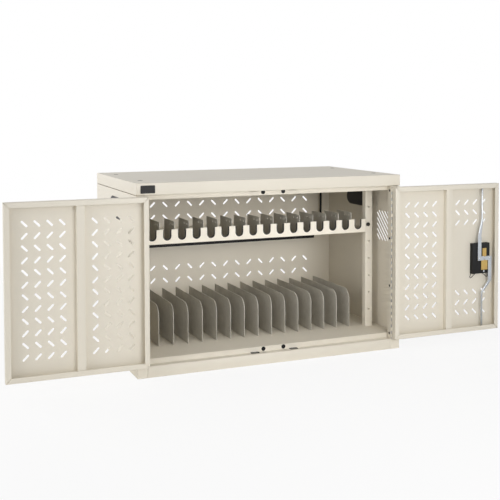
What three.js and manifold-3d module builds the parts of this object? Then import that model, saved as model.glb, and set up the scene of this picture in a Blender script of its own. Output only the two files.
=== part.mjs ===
// Steel laptop charging cabinet: a plinth-based shell with two slotted doors that stand open flat with the
// front, a rack of dividers, a cord shelf with a comb front, a power strip and a rod lock in the right door.
// Millimetres, +Z up. The origin is the middle of the footprint, on the floor. The front faces -Y.
import * as THREE from 'three';
import { mergeVertices } from 'three/addons/utils/BufferGeometryUtils.js';
import Module from 'manifold-3d';

const wasm = await Module();
wasm.setup();

// Shell
const WIDTH = 1143;
const DEPTH = 655;
const HEIGHT = 740;
const SHEET = 1.5;
const FIT = 0.3;
const BAND_HEIGHT = 46;
const BAND_RETURN = 15;
const POST_WIDTH = 40;
const POST_DEPTH = 30;
const PLINTH_HEIGHT = 42;
const FLOOR_HEIGHT = 64;
const HEADER_HEIGHT = 20;
const HEADER_RETURN = 15;
const PLUG_HOLE = 23;
const PLUG_INSET_X = 52;
const PLUG_INSET_Y = 135;

// Doors and hinges
const DOOR_BOTTOM_GAP = 2.2;
const DOOR_TOP_GAP = 4;
const DOOR_TRAY = 28;
const DOOR_LIP = 20;
const CENTRE_GAP = 4;
const HINGE_GAP = 3.5;
const HINGE_OUT = 3;
const KNUCKLE_RADIUS = 2.8;
const KNUCKLE_BORE = 1.6;
const HINGE_PIN_RADIUS = 1.2;
const KNUCKLE_COUNT = 14;
const KNUCKLE_CLEARANCE = 0.5;
const LEAF = 1;
const LEAF_DEPTH = 24;
const STIFFENER_WIDTH = 31;
const STIFFENER_HEIGHT = 22;
const STIFFENER_SHIFT = 8.3;

// Ventilation slots in the doors and the back
const SLOT_LENGTH = 31;
const SLOT_WIDTH = 8;
const SLOT_ROWS = 12;
const SLOT_COLUMN_PITCH = 45;
const SLOT_COLUMNS = 4;
const SLOT_HALF_CENTRE = 126.8;
const SLOT_SHIFT = 5.7;
const FIRST_ROW_DROP = 80.5;
const LAST_ROW_RISE = 81.5;
const LOCK_FIRST_BLANK_ROW = 3;
const LOCK_LAST_BLANK_ROW = 8;
const BACK_COLUMNS = 16;
const BACK_PITCH = 58.5;
const BACK_ROW_DROPS = [105.7, 163.7, 393.7, 451.7];

// Side vents and cup handles
const VENT_WIDTH = 110;
const VENT_HEIGHT = 130;
const VENT_SETBACK = 131;
const VENT_BELOW_CUP = 112;
const VENT_BARS = 9;
const VENT_SLOT = 7;
const VENT_SCREW_HOLE = 6;
const VENT_SCREW_MARGIN = 9;
const CUP_LENGTH = 174;
const CUP_HEIGHT = 72;
const CUP_RADIUS = 34;
const CUP_DEPTH = 42;
const CUP_WALL = 2;
const CUP_RIM = 8;
const CUP_SETBACK = 315;
const CUP_TOP_GAP = 29.7;

// Rack, shelf and dividers
const BAYS = 16;
const BAY_PITCH = 61.7;
const RACK_SETBACK = 166;
const RACK_POST_WIDTH = 34;
const RACK_POST_DEPTH = 28;
const RACK_POST_TUCK = 2.5;
const RACK_HOLE = 7;
const RACK_HOLE_PITCH = 75;
const SHELF_DROP = 213.7;
const COMB_HEIGHT = 58;
const NOTCH_WIDTH = 34.7;
const NOTCH_DEPTH = 44;
const LINER = 3;
const SHELF_SIDE = 20;
const SHELF_SIDE_DEPTH = 200;
const CORD_SLOT_DEPTH = 60;
const CORD_SLOT_SETBACK = 30;
const CORD_SLOT_INSET = 59.7;
const DIVIDER = 2;
const UPPER_DIVIDER_SETBACK = 6;
const UPPER_DIVIDER_DEPTH = 135;
const UPPER_DIVIDER_RISE = 30;
const UPPER_DIVIDER_RADIUS = 8;
const UPPER_DIVIDER_HOLE = 8;
const UPPER_DIVIDER_HOLE_DROP = 14;
const UPPER_DIVIDER_HOLES = [25, 60];
const LOWER_DIVIDER_SETBACK = 24;
const LOWER_DIVIDER_HEIGHT = 165;
const LOWER_DIVIDER_RADIUS = 45;
const LOWER_DIVIDER_BACK_CLEAR = 105;

// Power
const STRIP_LENGTH = 940;
const STRIP_HEIGHT = 45;
const STRIP_DEPTH = 40;
const STRIP_BELOW_SHELF = 35;
const OUTLET = 28;
const OUTLET_DEPTH = 5;
const OUTLET_PITCH = 54;
const SWITCH_WIDTH = 14;
const SWITCH_HEIGHT = 21;
const SWITCH_POCKET = 11;
const SWITCH_INSET = 24;
const SWITCH_TILT = 8;
const INLET_WIDTH = 80;
const INLET_DEPTH = 60;
const INLET_HEIGHT = 50;
const INLET_CENTRE_X = 510;
const INLET_TOP_GAP = 3.7;
const SOCKET_WIDTH = 28;
const SOCKET_HEIGHT = 22;
const SOCKET_DEPTH = 18;
const SOCKET_WALL = 4;
const LEAD_DIAMETER = 10;
const LEAD_BEND = 40;
const LEAD_TAIL = 4;
const LEAD_STRAIGHT = 30;

// Lock in the right door, measured along the door from its hinge axis and up from the floor
const LOCK_ALONG = 457;
const LOCK_BELOW_MIDDLE = 6;
const PAN_HINGE_SIDE = 61;
const PAN_FREE_SIDE = 29;
const PAN_HEIGHT = 133;
const PAN_DEPTH = 20;
const PAN_WALL = 2;
const PAN_BEZEL = 6;
const LEVER_HUB = 26;
const LEVER_ARM = 48;
const LEVER_WIDTH = 16;
const LEVER_RECESS = 4;
const LEVER_THICKNESS = 10;
const SHAFT_DIAMETER = 12;
const KEY_DIAMETER = 16;
const KEY_LENGTH = 9;
const KEYWAY_LENGTH = 9;
const KEYWAY_WIDTH = 1.8;
const KEYWAY_DEPTH = 3;
const CAM = 2;
const CAM_WIDTH = 33;
const CAM_UP = 44;
const CAM_DOWN = 51;
const CAM_ARM = 36;
const CAM_ARM_WIDTH = 18;
const ROD_ALONG = 444.75;
const ROD_DIAMETER = 8;
const ROD_CENTRE_DEPTH = 20;
const ROD_STRIP = 2;
const ROD_STRIP_DEPTH = 23;
const ROD_STRIP_WIDTH = 18;
const ROD_PIN_OFFSET = 27;
const ROD_TAB_GAP = 3;
const ROD_JOG_START = 100;
const ROD_JOG_END = 170;
const LOWER_JOG_START = 100;
const LOWER_JOG_END = 150;
const ROD_HOLE = 10;
const ROD_TIP_CLEAR = 0.5;
const ROD_SLOT_LENGTH = 30;
const ROD_SLOT_WIDTH = 16;
const HEADER_SLOT_WIDTH = 2.5;

// Places worked out from the sizes above
const SIDE = WIDTH / 2;
const FRONT = -DEPTH / 2;
const BACK = DEPTH / 2;
const BAND_BOTTOM = HEIGHT - BAND_HEIGHT;
const WALL_TOP = BAND_BOTTOM - FIT;
const POST_INNER = SIDE - POST_WIDTH;
const INNER_SIDE = SIDE - SHEET - FIT;
const INNER_BACK = BACK - SHEET - FIT;
const SILL = FRONT + POST_DEPTH + FIT;
const OPENING_HALF = POST_INNER - FIT;
const LEDGE_TOP = PLINTH_HEIGHT + FIT + SHEET;
const DOOR_BOTTOM = LEDGE_TOP + DOOR_BOTTOM_GAP;
const DOOR_TOP = BAND_BOTTOM - DOOR_TOP_GAP;
const DOOR_HEIGHT = DOOR_TOP - DOOR_BOTTOM;
const SLOT_ROW_PITCH = (DOOR_HEIGHT - FIRST_ROW_DROP - LAST_ROW_RISE) / (SLOT_ROWS - 1);
const LOCK_HEIGHT = (DOOR_BOTTOM + DOOR_TOP) / 2 - LOCK_BELOW_MIDDLE;
const CUP_CENTRE_HEIGHT = WALL_TOP - CUP_TOP_GAP - CUP_RIM - CUP_HEIGHT / 2;
const VENT_CENTRE_HEIGHT = CUP_CENTRE_HEIGHT - VENT_BELOW_CUP;
const AXIS_X = POST_INNER - HINGE_GAP / 2;
const AXIS_Y = FRONT - HINGE_OUT;
const DOOR_OUTER = AXIS_Y - HINGE_OUT;
const DOOR_START = HINGE_GAP / 2;
const DOOR_END = AXIS_X - CENTRE_GAP / 2;
const DOOR_MIDDLE = (DOOR_START + DOOR_END) / 2;
const RACK = FRONT + RACK_SETBACK;
const RACK_POST_INNER = POST_INNER + RACK_POST_TUCK - RACK_POST_WIDTH;
const SHELF_HALF = RACK_POST_INNER - FIT;
const SHELF_HEIGHT = WALL_TOP - SHELF_DROP;
const SHELF_TOP = SHELF_HEIGHT + SHEET;
const COMB_TOP = SHELF_HEIGHT + COMB_HEIGHT;
const ROD_CLOSED_X = AXIS_X - ROD_ALONG;
const STRIP_FRONT = INNER_BACK - STRIP_DEPTH;
const STRIP_BASE = SHELF_HEIGHT - STRIP_BELOW_SHELF - STRIP_HEIGHT;
const STRIP_MIDDLE = STRIP_BASE + STRIP_HEIGHT / 2;
const SWITCH_X = STRIP_LENGTH / 2 - SWITCH_INSET;
const INLET_BASE = WALL_TOP - INLET_TOP_GAP - INLET_HEIGHT;
const ROUND = 10;
const ARC_STEPS = 3;
const CUT_PAST = 1;
const SIDEWAYS = new THREE.Matrix4().makeBasis(
  new THREE.Vector3(0, 1, 0), new THREE.Vector3(0, 0, 1), new THREE.Vector3(1, 0, 0));

// Finishes
const putty = new THREE.MeshStandardMaterial({ color: 0xe4ddcc, roughness: 0.5, metalness: 0.1 });
const greySteel = new THREE.MeshStandardMaterial({ color: 0xbdb9af, roughness: 0.5, metalness: 0.1 });
const blackPlastic = new THREE.MeshStandardMaterial({ color: 0x1a1a1b, roughness: 0.5, metalness: 0 });
const zincSteel = new THREE.MeshStandardMaterial({ color: 0xb9bdc2, roughness: 0.35, metalness: 0.9 });
const yellowZinc = new THREE.MeshStandardMaterial({ color: 0xb39c62, roughness: 0.4, metalness: 0.8 });
const blackRubber = new THREE.MeshStandardMaterial({ color: 0x151515, roughness: 0.7, metalness: 0 });

// A closed geometry as a solid that can be joined and cut
function solid(geometry) {
  const bare = geometry.index ? geometry.toNonIndexed() : geometry.clone();
  bare.deleteAttribute('normal');
  bare.deleteAttribute('uv');
  const merged = mergeVertices(bare, 1e-4);
  return new wasm.Manifold(new wasm.Mesh({
    numProp: 3,
    vertProperties: new Float32Array(merged.attributes.position.array),
    triVerts: new Uint32Array(merged.index.array),
  }));
}

function join(...solids) {
  return solids.reduce((whole, next) => whole.add(next));
}

// Box between two corners, given in any order along each axis
function box(x0, x1, y0, y1, z0, z1) {
  const geometry = new THREE.BoxGeometry(Math.abs(x1 - x0), Math.abs(y1 - y0), Math.abs(z1 - z0));
  geometry.translate((x0 + x1) / 2, (y0 + y1) / 2, (z0 + z1) / 2);
  return solid(geometry);
}

function extrude(shape, depth) {
  return new THREE.ExtrudeGeometry(shape, { depth, bevelEnabled: false });
}

// Flat plate: the outline is extruded and put in place, and each hole is cut right through it
function plate(shape, depth, place) {
  const sheet = solid(extrude(new THREE.Shape(shape.getPoints(ARC_STEPS)), depth).applyMatrix4(place));
  return shape.holes.reduce((rest, path) => {
    const cutter = extrude(new THREE.Shape(path.getPoints(ARC_STEPS)), depth + 2 * CUT_PAST);
    return rest.subtract(solid(cutter.translate(0, 0, -CUT_PAST).applyMatrix4(place)));
  }, sheet);
}

// Flat plate drawn in X and Y, standing from z0 to z1
function plateXY(shape, z0, z1) {
  return plate(shape, z1 - z0, new THREE.Matrix4().makeTranslation(0, 0, z0));
}

// Flat plate drawn in X and Z, lying from y0 back to y1
function plateXZ(shape, y0, y1) {
  const turn = new THREE.Matrix4().makeRotationX(Math.PI / 2);
  return plate(shape, y1 - y0, turn.premultiply(new THREE.Matrix4().makeTranslation(0, y1, 0)));
}

// Flat plate drawn in Y and Z, lying from x0 to x1
function plateYZ(shape, x0, x1) {
  return plate(shape, x1 - x0, new THREE.Matrix4().makeTranslation(x0, 0, 0).multiply(SIDEWAYS));
}

function outline(points) {
  return new THREE.Shape(points.map(([a, b]) => new THREE.Vector2(a, b)));
}

function hole(points) {
  return new THREE.Path(points.map(([a, b]) => new THREE.Vector2(a, b)));
}

function rectangle(a0, a1, b0, b1) {
  return [[a0, b0], [a1, b0], [a1, b1], [a0, b1]];
}

function polygon(a, b, radius, sides) {
  return Array.from({ length: sides }, (_, i) => {
    const turn = (i + 0.5) * 2 * Math.PI / sides;
    return [a + radius * Math.cos(turn), b + radius * Math.sin(turn)];
  });
}

// Slot with narrowed ends, leaning by the given angle
function slot(a, b, length, width, angle) {
  const flat = length / 2 - width / 2;
  const half = width / 2;
  const points = [
    [length / 2, 0], [flat, half], [-flat, half], [-length / 2, 0], [-flat, -half], [flat, -half]];
  return points.map(([p, q]) => [
    a + p * Math.cos(angle) - q * Math.sin(angle),
    b + p * Math.sin(angle) + q * Math.cos(angle),
  ]);
}

// Rectangle with round corners
function rounded(a, b, width, height, radius) {
  const shape = new THREE.Shape();
  const x = width / 2 - radius;
  const y = height / 2 - radius;
  shape.absarc(a + x, b - y, radius, -Math.PI / 2, 0);
  shape.absarc(a + x, b + y, radius, 0, Math.PI / 2);
  shape.absarc(a - x, b + y, radius, Math.PI / 2, Math.PI);
  shape.absarc(a - x, b - y, radius, Math.PI, 1.5 * Math.PI);
  return shape;
}

// Upright round bar
function uprightBar(x, y, radius, z0, z1, sides = ROUND) {
  const geometry = new THREE.CylinderGeometry(radius, radius, z1 - z0, sides);
  return solid(geometry.rotateX(Math.PI / 2).translate(x, y, (z0 + z1) / 2));
}

// Round bar that points along Y
function crossBar(x, z, radius, y0, y1, sides = 2 * ROUND) {
  const geometry = new THREE.CylinderGeometry(radius, radius, Math.abs(y1 - y0), sides);
  return solid(geometry.translate(x, (y0 + y1) / 2, z));
}

const cabinet = new THREE.Group();

function addPiece(name, body, material) {
  const mesh = body.getMesh();
  const geometry = new THREE.BufferGeometry();
  geometry.setAttribute('position', new THREE.BufferAttribute(new Float32Array(mesh.vertProperties), 3));
  geometry.setIndex(new THREE.BufferAttribute(new Uint32Array(mesh.triVerts), 1));
  geometry.computeVertexNormals();
  const piece = new THREE.Mesh(geometry, material);
  piece.name = name;
  cabinet.add(piece);
}

// Shell

function topPanel() {
  const sheet = outline(rectangle(-SIDE, SIDE, FRONT, BACK));
  for (const x of [-SIDE + PLUG_INSET_X, SIDE - PLUG_INSET_X]) {
    for (const y of [FRONT + PLUG_INSET_Y, BACK - PLUG_INSET_Y]) {
      sheet.holes.push(hole(polygon(x, y, PLUG_HOLE / 2, ROUND)));
    }
  }
  const inner = rectangle(-SIDE + SHEET, SIDE - SHEET, FRONT + SHEET, BACK - SHEET);
  const band = outline(rectangle(-SIDE, SIDE, FRONT, BACK));
  band.holes.push(hole(inner));
  const flange = outline(rectangle(-SIDE, SIDE, FRONT, BACK));
  flange.holes.push(hole(rectangle(
    -SIDE + BAND_RETURN, SIDE - BAND_RETURN, FRONT + POST_DEPTH, BACK - BAND_RETURN)));
  for (const x of [-ROD_CLOSED_X, ROD_CLOSED_X]) {
    flange.holes.push(hole(rectangle(
      x - ROD_SLOT_LENGTH / 2, x + ROD_SLOT_LENGTH / 2,
      FRONT + ROD_CENTRE_DEPTH - ROD_SLOT_WIDTH / 2, FRONT + ROD_CENTRE_DEPTH + ROD_SLOT_WIDTH / 2)));
  }
  return join(
    plateXY(sheet, HEIGHT - SHEET, HEIGHT),
    plateXY(band, BAND_BOTTOM, HEIGHT - SHEET / 2),
    plateXY(flange, BAND_BOTTOM, BAND_BOTTOM + SHEET));
}

// Parallel diagonal slots that fill the vent's rectangle
function ventSlots(y, z) {
  const slots = [];
  const step = (VENT_WIDTH + VENT_HEIGHT) / (VENT_BARS + 1);
  for (let i = 1; i <= VENT_BARS; i += 1) {
    const reach = i * step;
    const y0 = Math.max(0, reach - VENT_HEIGHT);
    const y1 = Math.min(VENT_WIDTH, reach);
    const middle = (y0 + y1) / 2;
    const length = (y1 - y0) * Math.SQRT2;
    slots.push(slot(
      y - VENT_WIDTH / 2 + middle, z + VENT_HEIGHT / 2 - (reach - middle), length, VENT_SLOT, Math.PI / 4));
  }
  return slots;
}

function sidePanel(side) {
  const sheet = outline(rectangle(FRONT, BACK, 0, WALL_TOP));
  const ventY = FRONT + VENT_SETBACK;
  for (const points of ventSlots(ventY, VENT_CENTRE_HEIGHT)) {
    sheet.holes.push(hole(points));
  }
  for (const a of [-1, 1]) {
    for (const b of [-1, 1]) {
      sheet.holes.push(hole(polygon(
        ventY + a * (VENT_WIDTH / 2 + VENT_SCREW_MARGIN),
        VENT_CENTRE_HEIGHT + b * (VENT_HEIGHT / 2 + VENT_SCREW_MARGIN), VENT_SCREW_HOLE / 2, 6)));
    }
  }
  sheet.holes.push(rounded(
    FRONT + CUP_SETBACK, CUP_CENTRE_HEIGHT, CUP_LENGTH + 2 * FIT, CUP_HEIGHT + 2 * FIT, CUP_RADIUS + FIT));
  const wall = side > 0 ? plateYZ(sheet, SIDE - SHEET, SIDE) : plateYZ(sheet, -SIDE, -SIDE + SHEET);
  return join(
    wall,
    box(side * POST_INNER, side * SIDE, FRONT, FRONT + SHEET, 0, WALL_TOP),
    box(side * POST_INNER, side * (POST_INNER + SHEET), FRONT, FRONT + POST_DEPTH, 0, WALL_TOP),
    box(side * (SIDE - BAND_RETURN), side * SIDE, FRONT + POST_DEPTH, BACK - SHEET - FIT,
      WALL_TOP - SHEET, WALL_TOP));
}

function backPanel() {
  const sheet = outline(rectangle(-INNER_SIDE, INNER_SIDE, 0, WALL_TOP));
  for (const drop of BACK_ROW_DROPS) {
    for (let i = 0; i < BACK_COLUMNS; i += 1) {
      const lean = i % 2 ? -Math.PI / 4 : Math.PI / 4;
      const x = (i - (BACK_COLUMNS - 1) / 2) * BACK_PITCH;
      sheet.holes.push(hole(slot(x, WALL_TOP - drop, SLOT_LENGTH, SLOT_WIDTH, lean)));
    }
  }
  const halfWidth = SOCKET_WIDTH / 2 + SOCKET_WALL + FIT;
  const halfHeight = SOCKET_HEIGHT / 2 + SOCKET_WALL + FIT;
  const inletMiddle = INLET_BASE + INLET_HEIGHT / 2;
  sheet.holes.push(hole(rectangle(
    INLET_CENTRE_X - halfWidth, INLET_CENTRE_X + halfWidth,
    inletMiddle - halfHeight, inletMiddle + halfHeight)));
  return plateXZ(sheet, BACK - SHEET, BACK);
}

function basePan() {
  return box(-INNER_SIDE, INNER_SIDE, FRONT + POST_DEPTH + FIT, INNER_BACK, 0, SHEET);
}

function plinthFront() {
  return join(
    box(-OPENING_HALF, OPENING_HALF, FRONT, FRONT + SHEET, 0, PLINTH_HEIGHT),
    box(-OPENING_HALF, OPENING_HALF, FRONT, FRONT + POST_DEPTH, 0, SHEET));
}

function floorPan() {
  const ledge = outline(rectangle(-OPENING_HALF, OPENING_HALF, FRONT, SILL + SHEET));
  for (const x of [-ROD_CLOSED_X, ROD_CLOSED_X]) {
    ledge.holes.push(hole(rectangle(
      x - ROD_SLOT_LENGTH / 2, x + ROD_SLOT_LENGTH / 2,
      FRONT + ROD_CENTRE_DEPTH - ROD_SLOT_WIDTH / 2, FRONT + ROD_CENTRE_DEPTH + ROD_SLOT_WIDTH / 2)));
  }
  const floorFrom = FLOOR_HEIGHT - SHEET;
  return join(
    plateXY(ledge, LEDGE_TOP - SHEET, LEDGE_TOP),
    box(-OPENING_HALF, OPENING_HALF, SILL, SILL + SHEET, LEDGE_TOP - SHEET, FLOOR_HEIGHT),
    box(-INNER_SIDE, INNER_SIDE, SILL, INNER_BACK, floorFrom, FLOOR_HEIGHT),
    ...[-1, 1].map((side) => box(
      side * (INNER_SIDE - SHEET), side * INNER_SIDE, SILL, INNER_BACK, SHEET + FIT, FLOOR_HEIGHT)));
}

function headerRail() {
  const base = WALL_TOP - HEADER_HEIGHT;
  const face = outline(rectangle(-OPENING_HALF, OPENING_HALF, base, WALL_TOP));
  for (const x of [-ROD_CLOSED_X, ROD_CLOSED_X]) {
    face.holes.push(hole(rectangle(
      x - ROD_SLOT_LENGTH / 2, x + ROD_SLOT_LENGTH / 2,
      WALL_TOP - 2 * HEADER_SLOT_WIDTH, WALL_TOP - HEADER_SLOT_WIDTH)));
  }
  return join(
    plateXZ(face, SILL, SILL + SHEET),
    box(-OPENING_HALF, OPENING_HALF, SILL, SILL + HEADER_RETURN, base, base + SHEET));
}

function cupHandle(side) {
  const y = FRONT + CUP_SETBACK;
  const outside = SIDE + FIT + CUP_WALL;
  const place = (shape, near, far) => (side > 0 ? plateYZ(shape, near, far) : plateYZ(shape, -far, -near));
  const rim = rounded(
    y, CUP_CENTRE_HEIGHT, CUP_LENGTH + 2 * CUP_RIM, CUP_HEIGHT + 2 * CUP_RIM, CUP_RADIUS + CUP_RIM);
  const cup = rounded(y, CUP_CENTRE_HEIGHT, CUP_LENGTH, CUP_HEIGHT, CUP_RADIUS);
  const hollow = rounded(
    y, CUP_CENTRE_HEIGHT, CUP_LENGTH - 2 * CUP_WALL, CUP_HEIGHT - 2 * CUP_WALL, CUP_RADIUS - CUP_WALL);
  return join(place(rim, SIDE + FIT, outside), place(cup, SIDE - CUP_DEPTH, outside))
    .subtract(place(hollow, SIDE - CUP_DEPTH + CUP_WALL, outside + CUP_WALL));
}

// Rack

function rackPost(side) {
  const inner = RACK_POST_INNER;
  const outer = RACK_POST_INNER + RACK_POST_WIDTH;
  const base = FLOOR_HEIGHT + FIT;
  const top = HEIGHT - SHEET - FIT;
  const face = outline(side > 0 ? rectangle(inner, outer, base, top) : rectangle(-outer, -inner, base, top));
  const middle = side * (inner + outer) / 2;
  for (let z = base + RACK_HOLE_PITCH; z < top - RACK_HOLE_PITCH / 2; z += RACK_HOLE_PITCH) {
    face.holes.push(hole(polygon(middle, z, RACK_HOLE / 2, 6)));
  }
  return join(
    plateXZ(face, RACK, RACK + SHEET),
    box(side * inner, side * (inner + SHEET), RACK, RACK + RACK_POST_DEPTH, base, top),
    box(side * (outer - SHEET), side * outer, RACK, RACK + RACK_POST_DEPTH, base, top));
}

// Toothed strip whose notches have round bottoms
function combShape(half, base, top, width, floor) {
  const shape = outline(rectangle(-half, half, base, top));
  const radius = width / 2;
  for (let i = 0; i < BAYS; i += 1) {
    const x = (i - (BAYS - 1) / 2) * BAY_PITCH;
    const notch = new THREE.Path();
    notch.moveTo(x + radius, top + CUT_PAST);
    notch.lineTo(x - radius, top + CUT_PAST);
    notch.absarc(x, floor + radius, radius, Math.PI, 2 * Math.PI);
    shape.holes.push(notch);
  }
  return shape;
}

function cordShelf() {
  const sheet = outline(rectangle(-SHELF_HALF, SHELF_HALF, RACK, INNER_BACK));
  sheet.holes.push(hole(rectangle(
    -SHELF_HALF + CORD_SLOT_INSET, SHELF_HALF - CORD_SLOT_INSET,
    INNER_BACK - CORD_SLOT_SETBACK - CORD_SLOT_DEPTH, INNER_BACK - CORD_SLOT_SETBACK)));
  const comb = combShape(SHELF_HALF, SHELF_HEIGHT, COMB_TOP, NOTCH_WIDTH, COMB_TOP - NOTCH_DEPTH);
  return join(
    plateXY(sheet, SHELF_HEIGHT, SHELF_TOP),
    plateXZ(comb, RACK, RACK + SHEET),
    ...[-1, 1].map((side) => box(
      side * (SHELF_HALF - SHEET), side * SHELF_HALF, RACK, RACK + SHELF_SIDE_DEPTH,
      SHELF_HEIGHT, SHELF_HEIGHT + SHELF_SIDE)));
}

function notchLiner() {
  const from = RACK + SHEET + FIT;
  const half = SHELF_HALF - SHEET - FIT;
  const floor = COMB_TOP - NOTCH_DEPTH + LINER;
  const comb = combShape(half, SHELF_TOP + FIT, COMB_TOP - SHEET, NOTCH_WIDTH - 2 * LINER, floor);
  return plateXZ(comb, from, from + LINER);
}

// Upright plate in Y and Z with a round top front corner
function dividerShape(front, back, base, top, radius) {
  const shape = new THREE.Shape();
  shape.moveTo(front, base);
  shape.lineTo(back, base);
  shape.lineTo(back, top);
  shape.absarc(front + radius, top - radius, radius, Math.PI / 2, Math.PI);
  return shape;
}

function upperDivider(x) {
  const front = RACK + UPPER_DIVIDER_SETBACK;
  const top = COMB_TOP + UPPER_DIVIDER_RISE;
  const shape = dividerShape(front, front + UPPER_DIVIDER_DEPTH, SHELF_TOP + FIT, top, UPPER_DIVIDER_RADIUS);
  for (const inset of UPPER_DIVIDER_HOLES) {
    shape.holes.push(hole(polygon(front + inset, top - UPPER_DIVIDER_HOLE_DROP, UPPER_DIVIDER_HOLE / 2, 6)));
  }
  return plateYZ(shape, x - DIVIDER / 2, x + DIVIDER / 2);
}

function lowerDivider(x) {
  const base = FLOOR_HEIGHT + FIT;
  const shape = dividerShape(
    RACK + LOWER_DIVIDER_SETBACK, BACK - LOWER_DIVIDER_BACK_CLEAR,
    base, base + LOWER_DIVIDER_HEIGHT, LOWER_DIVIDER_RADIUS);
  return plateYZ(shape, x - DIVIDER / 2, x + DIVIDER / 2);
}

// Power

function powerStrip() {
  let body = box(
    -STRIP_LENGTH / 2, STRIP_LENGTH / 2, STRIP_FRONT, INNER_BACK, STRIP_BASE, STRIP_BASE + STRIP_HEIGHT);
  const first = -STRIP_LENGTH / 2 + OUTLET_PITCH / 2 + FIT;
  for (let i = 0; i < BAYS; i += 1) {
    const x = first + i * OUTLET_PITCH;
    body = body.subtract(box(
      x - OUTLET / 2, x + OUTLET / 2, STRIP_FRONT - FIT, STRIP_FRONT + OUTLET_DEPTH,
      STRIP_MIDDLE - OUTLET / 2, STRIP_MIDDLE + OUTLET / 2));
  }
  return body.subtract(box(
    SWITCH_X - SWITCH_WIDTH / 2 - FIT, SWITCH_X + SWITCH_WIDTH / 2 + FIT,
    STRIP_FRONT - FIT, STRIP_FRONT + SWITCH_POCKET,
    STRIP_MIDDLE - SWITCH_HEIGHT / 2 - 3 * FIT, STRIP_MIDDLE + SWITCH_HEIGHT / 2 + 3 * FIT));
}

// Rocker with a shallow hollow across its face, tilted to its off side about a pivot inside the pocket
function powerSwitch() {
  const half = SWITCH_HEIGHT / 2 - SHEET;
  const pivot = STRIP_FRONT + SWITCH_POCKET / 2;
  const rocker = outline([
    [-SWITCH_POCKET / 2 - SHEET, -half], [SWITCH_POCKET / 2 - 2 * SHEET, -half],
    [SWITCH_POCKET / 2 - FIT, 0],
    [SWITCH_POCKET / 2 - 2 * SHEET, half], [-SWITCH_POCKET / 2 - SHEET, half],
    [-SWITCH_POCKET / 2 + SHEET, 0]]);
  return solid(extrude(rocker, SWITCH_WIDTH).applyMatrix4(SIDEWAYS)
    .rotateX(THREE.MathUtils.degToRad(SWITCH_TILT))
    .translate(SWITCH_X - SWITCH_WIDTH / 2, pivot, STRIP_MIDDLE));
}

function inletBox() {
  const middle = INLET_BASE + INLET_HEIGHT / 2;
  const left = INLET_CENTRE_X - INLET_WIDTH / 2;
  const halfWidth = SOCKET_WIDTH / 2;
  const halfHeight = SOCKET_HEIGHT / 2;
  return join(
    box(left, left + INLET_WIDTH, INNER_BACK - INLET_DEPTH, INNER_BACK,
      INLET_BASE, INLET_BASE + INLET_HEIGHT),
    box(INLET_CENTRE_X - halfWidth - SOCKET_WALL, INLET_CENTRE_X + halfWidth + SOCKET_WALL,
      INNER_BACK - SHEET, BACK, middle - halfHeight - SOCKET_WALL, middle + halfHeight + SOCKET_WALL))
    .subtract(box(
      INLET_CENTRE_X - halfWidth, INLET_CENTRE_X + halfWidth, BACK - SOCKET_DEPTH, BACK + SHEET,
      middle - halfHeight, middle + halfHeight));
}

// Lead held between the inlet box and the end of the power strip: straight down, over to the strip's end
// and round one bend into it
function powerLead() {
  const end = STRIP_LENGTH / 2 + FIT;
  const bendEnd = end + LEAD_TAIL;
  const inletY = INNER_BACK - INLET_DEPTH / 2;
  const stripY = INNER_BACK - STRIP_DEPTH / 2;
  const inletZ = INLET_BASE - FIT;
  const bendTop = STRIP_MIDDLE + LEAD_BEND;
  const points = [
    new THREE.Vector3(INLET_CENTRE_X, inletY, inletZ),
    new THREE.Vector3(INLET_CENTRE_X, inletY, inletZ - LEAD_STRAIGHT),
    new THREE.Vector3(bendEnd + LEAD_BEND, stripY, bendTop + LEAD_STRAIGHT)];
  for (let i = 0; i <= ARC_STEPS; i += 1) {
    const turn = i * Math.PI / 2 / ARC_STEPS;
    points.push(new THREE.Vector3(
      bendEnd + LEAD_BEND * Math.cos(turn), stripY, bendTop - LEAD_BEND * Math.sin(turn)));
  }
  points.push(new THREE.Vector3(end, stripY, STRIP_MIDDLE));
  const route = new THREE.CatmullRomCurve3(points);
  const section = outline(polygon(0, 0, LEAD_DIAMETER / 2, 8));
  return solid(new THREE.ExtrudeGeometry(section, { steps: 20, extrudePath: route, bevelEnabled: false }));
}

// Doors: along runs from the hinge axis to the free edge, deep from the outer face to the inside of the tray

function doorBox(side, along0, along1, deep0, deep1, z0, z1) {
  return box(
    side * (AXIS_X + along0), side * (AXIS_X + along1), DOOR_OUTER - deep0, DOOR_OUTER - deep1, z0, z1);
}

function doorPlate(side, points, holes, deep0, deep1) {
  const place = (list) => list.map(([along, z]) => [side * (AXIS_X + along), z]);
  const shape = outline(place(points));
  holes.forEach((points2) => shape.holes.push(hole(place(points2))));
  return plateXZ(shape, DOOR_OUTER - deep1, DOOR_OUTER - deep0);
}

// Slots of one door: rows lean by turns, and the lock's zone stays plain. Both doors are punched alike and
// not as a pair, so on both the pattern and the stiffener stand off the middle to the right
function doorSlots(side, hasLock) {
  const slots = [];
  for (let row = 0; row < SLOT_ROWS; row += 1) {
    const z = DOOR_TOP - FIRST_ROW_DROP - row * SLOT_ROW_PITCH;
    const lean = row % 2 ? -Math.PI / 4 : Math.PI / 4;
    for (const half of [-1, 1]) {
      const plain = hasLock && half > 0 && row >= LOCK_FIRST_BLANK_ROW && row <= LOCK_LAST_BLANK_ROW;
      for (let column = 0; column < SLOT_COLUMNS && !plain; column += 1) {
        const along = DOOR_MIDDLE + side * SLOT_SHIFT + half * SLOT_HALF_CENTRE
          + (column - (SLOT_COLUMNS - 1) / 2) * SLOT_COLUMN_PITCH;
        slots.push(slot(along, z, SLOT_LENGTH, SLOT_WIDTH, lean));
      }
    }
  }
  return slots;
}

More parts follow.
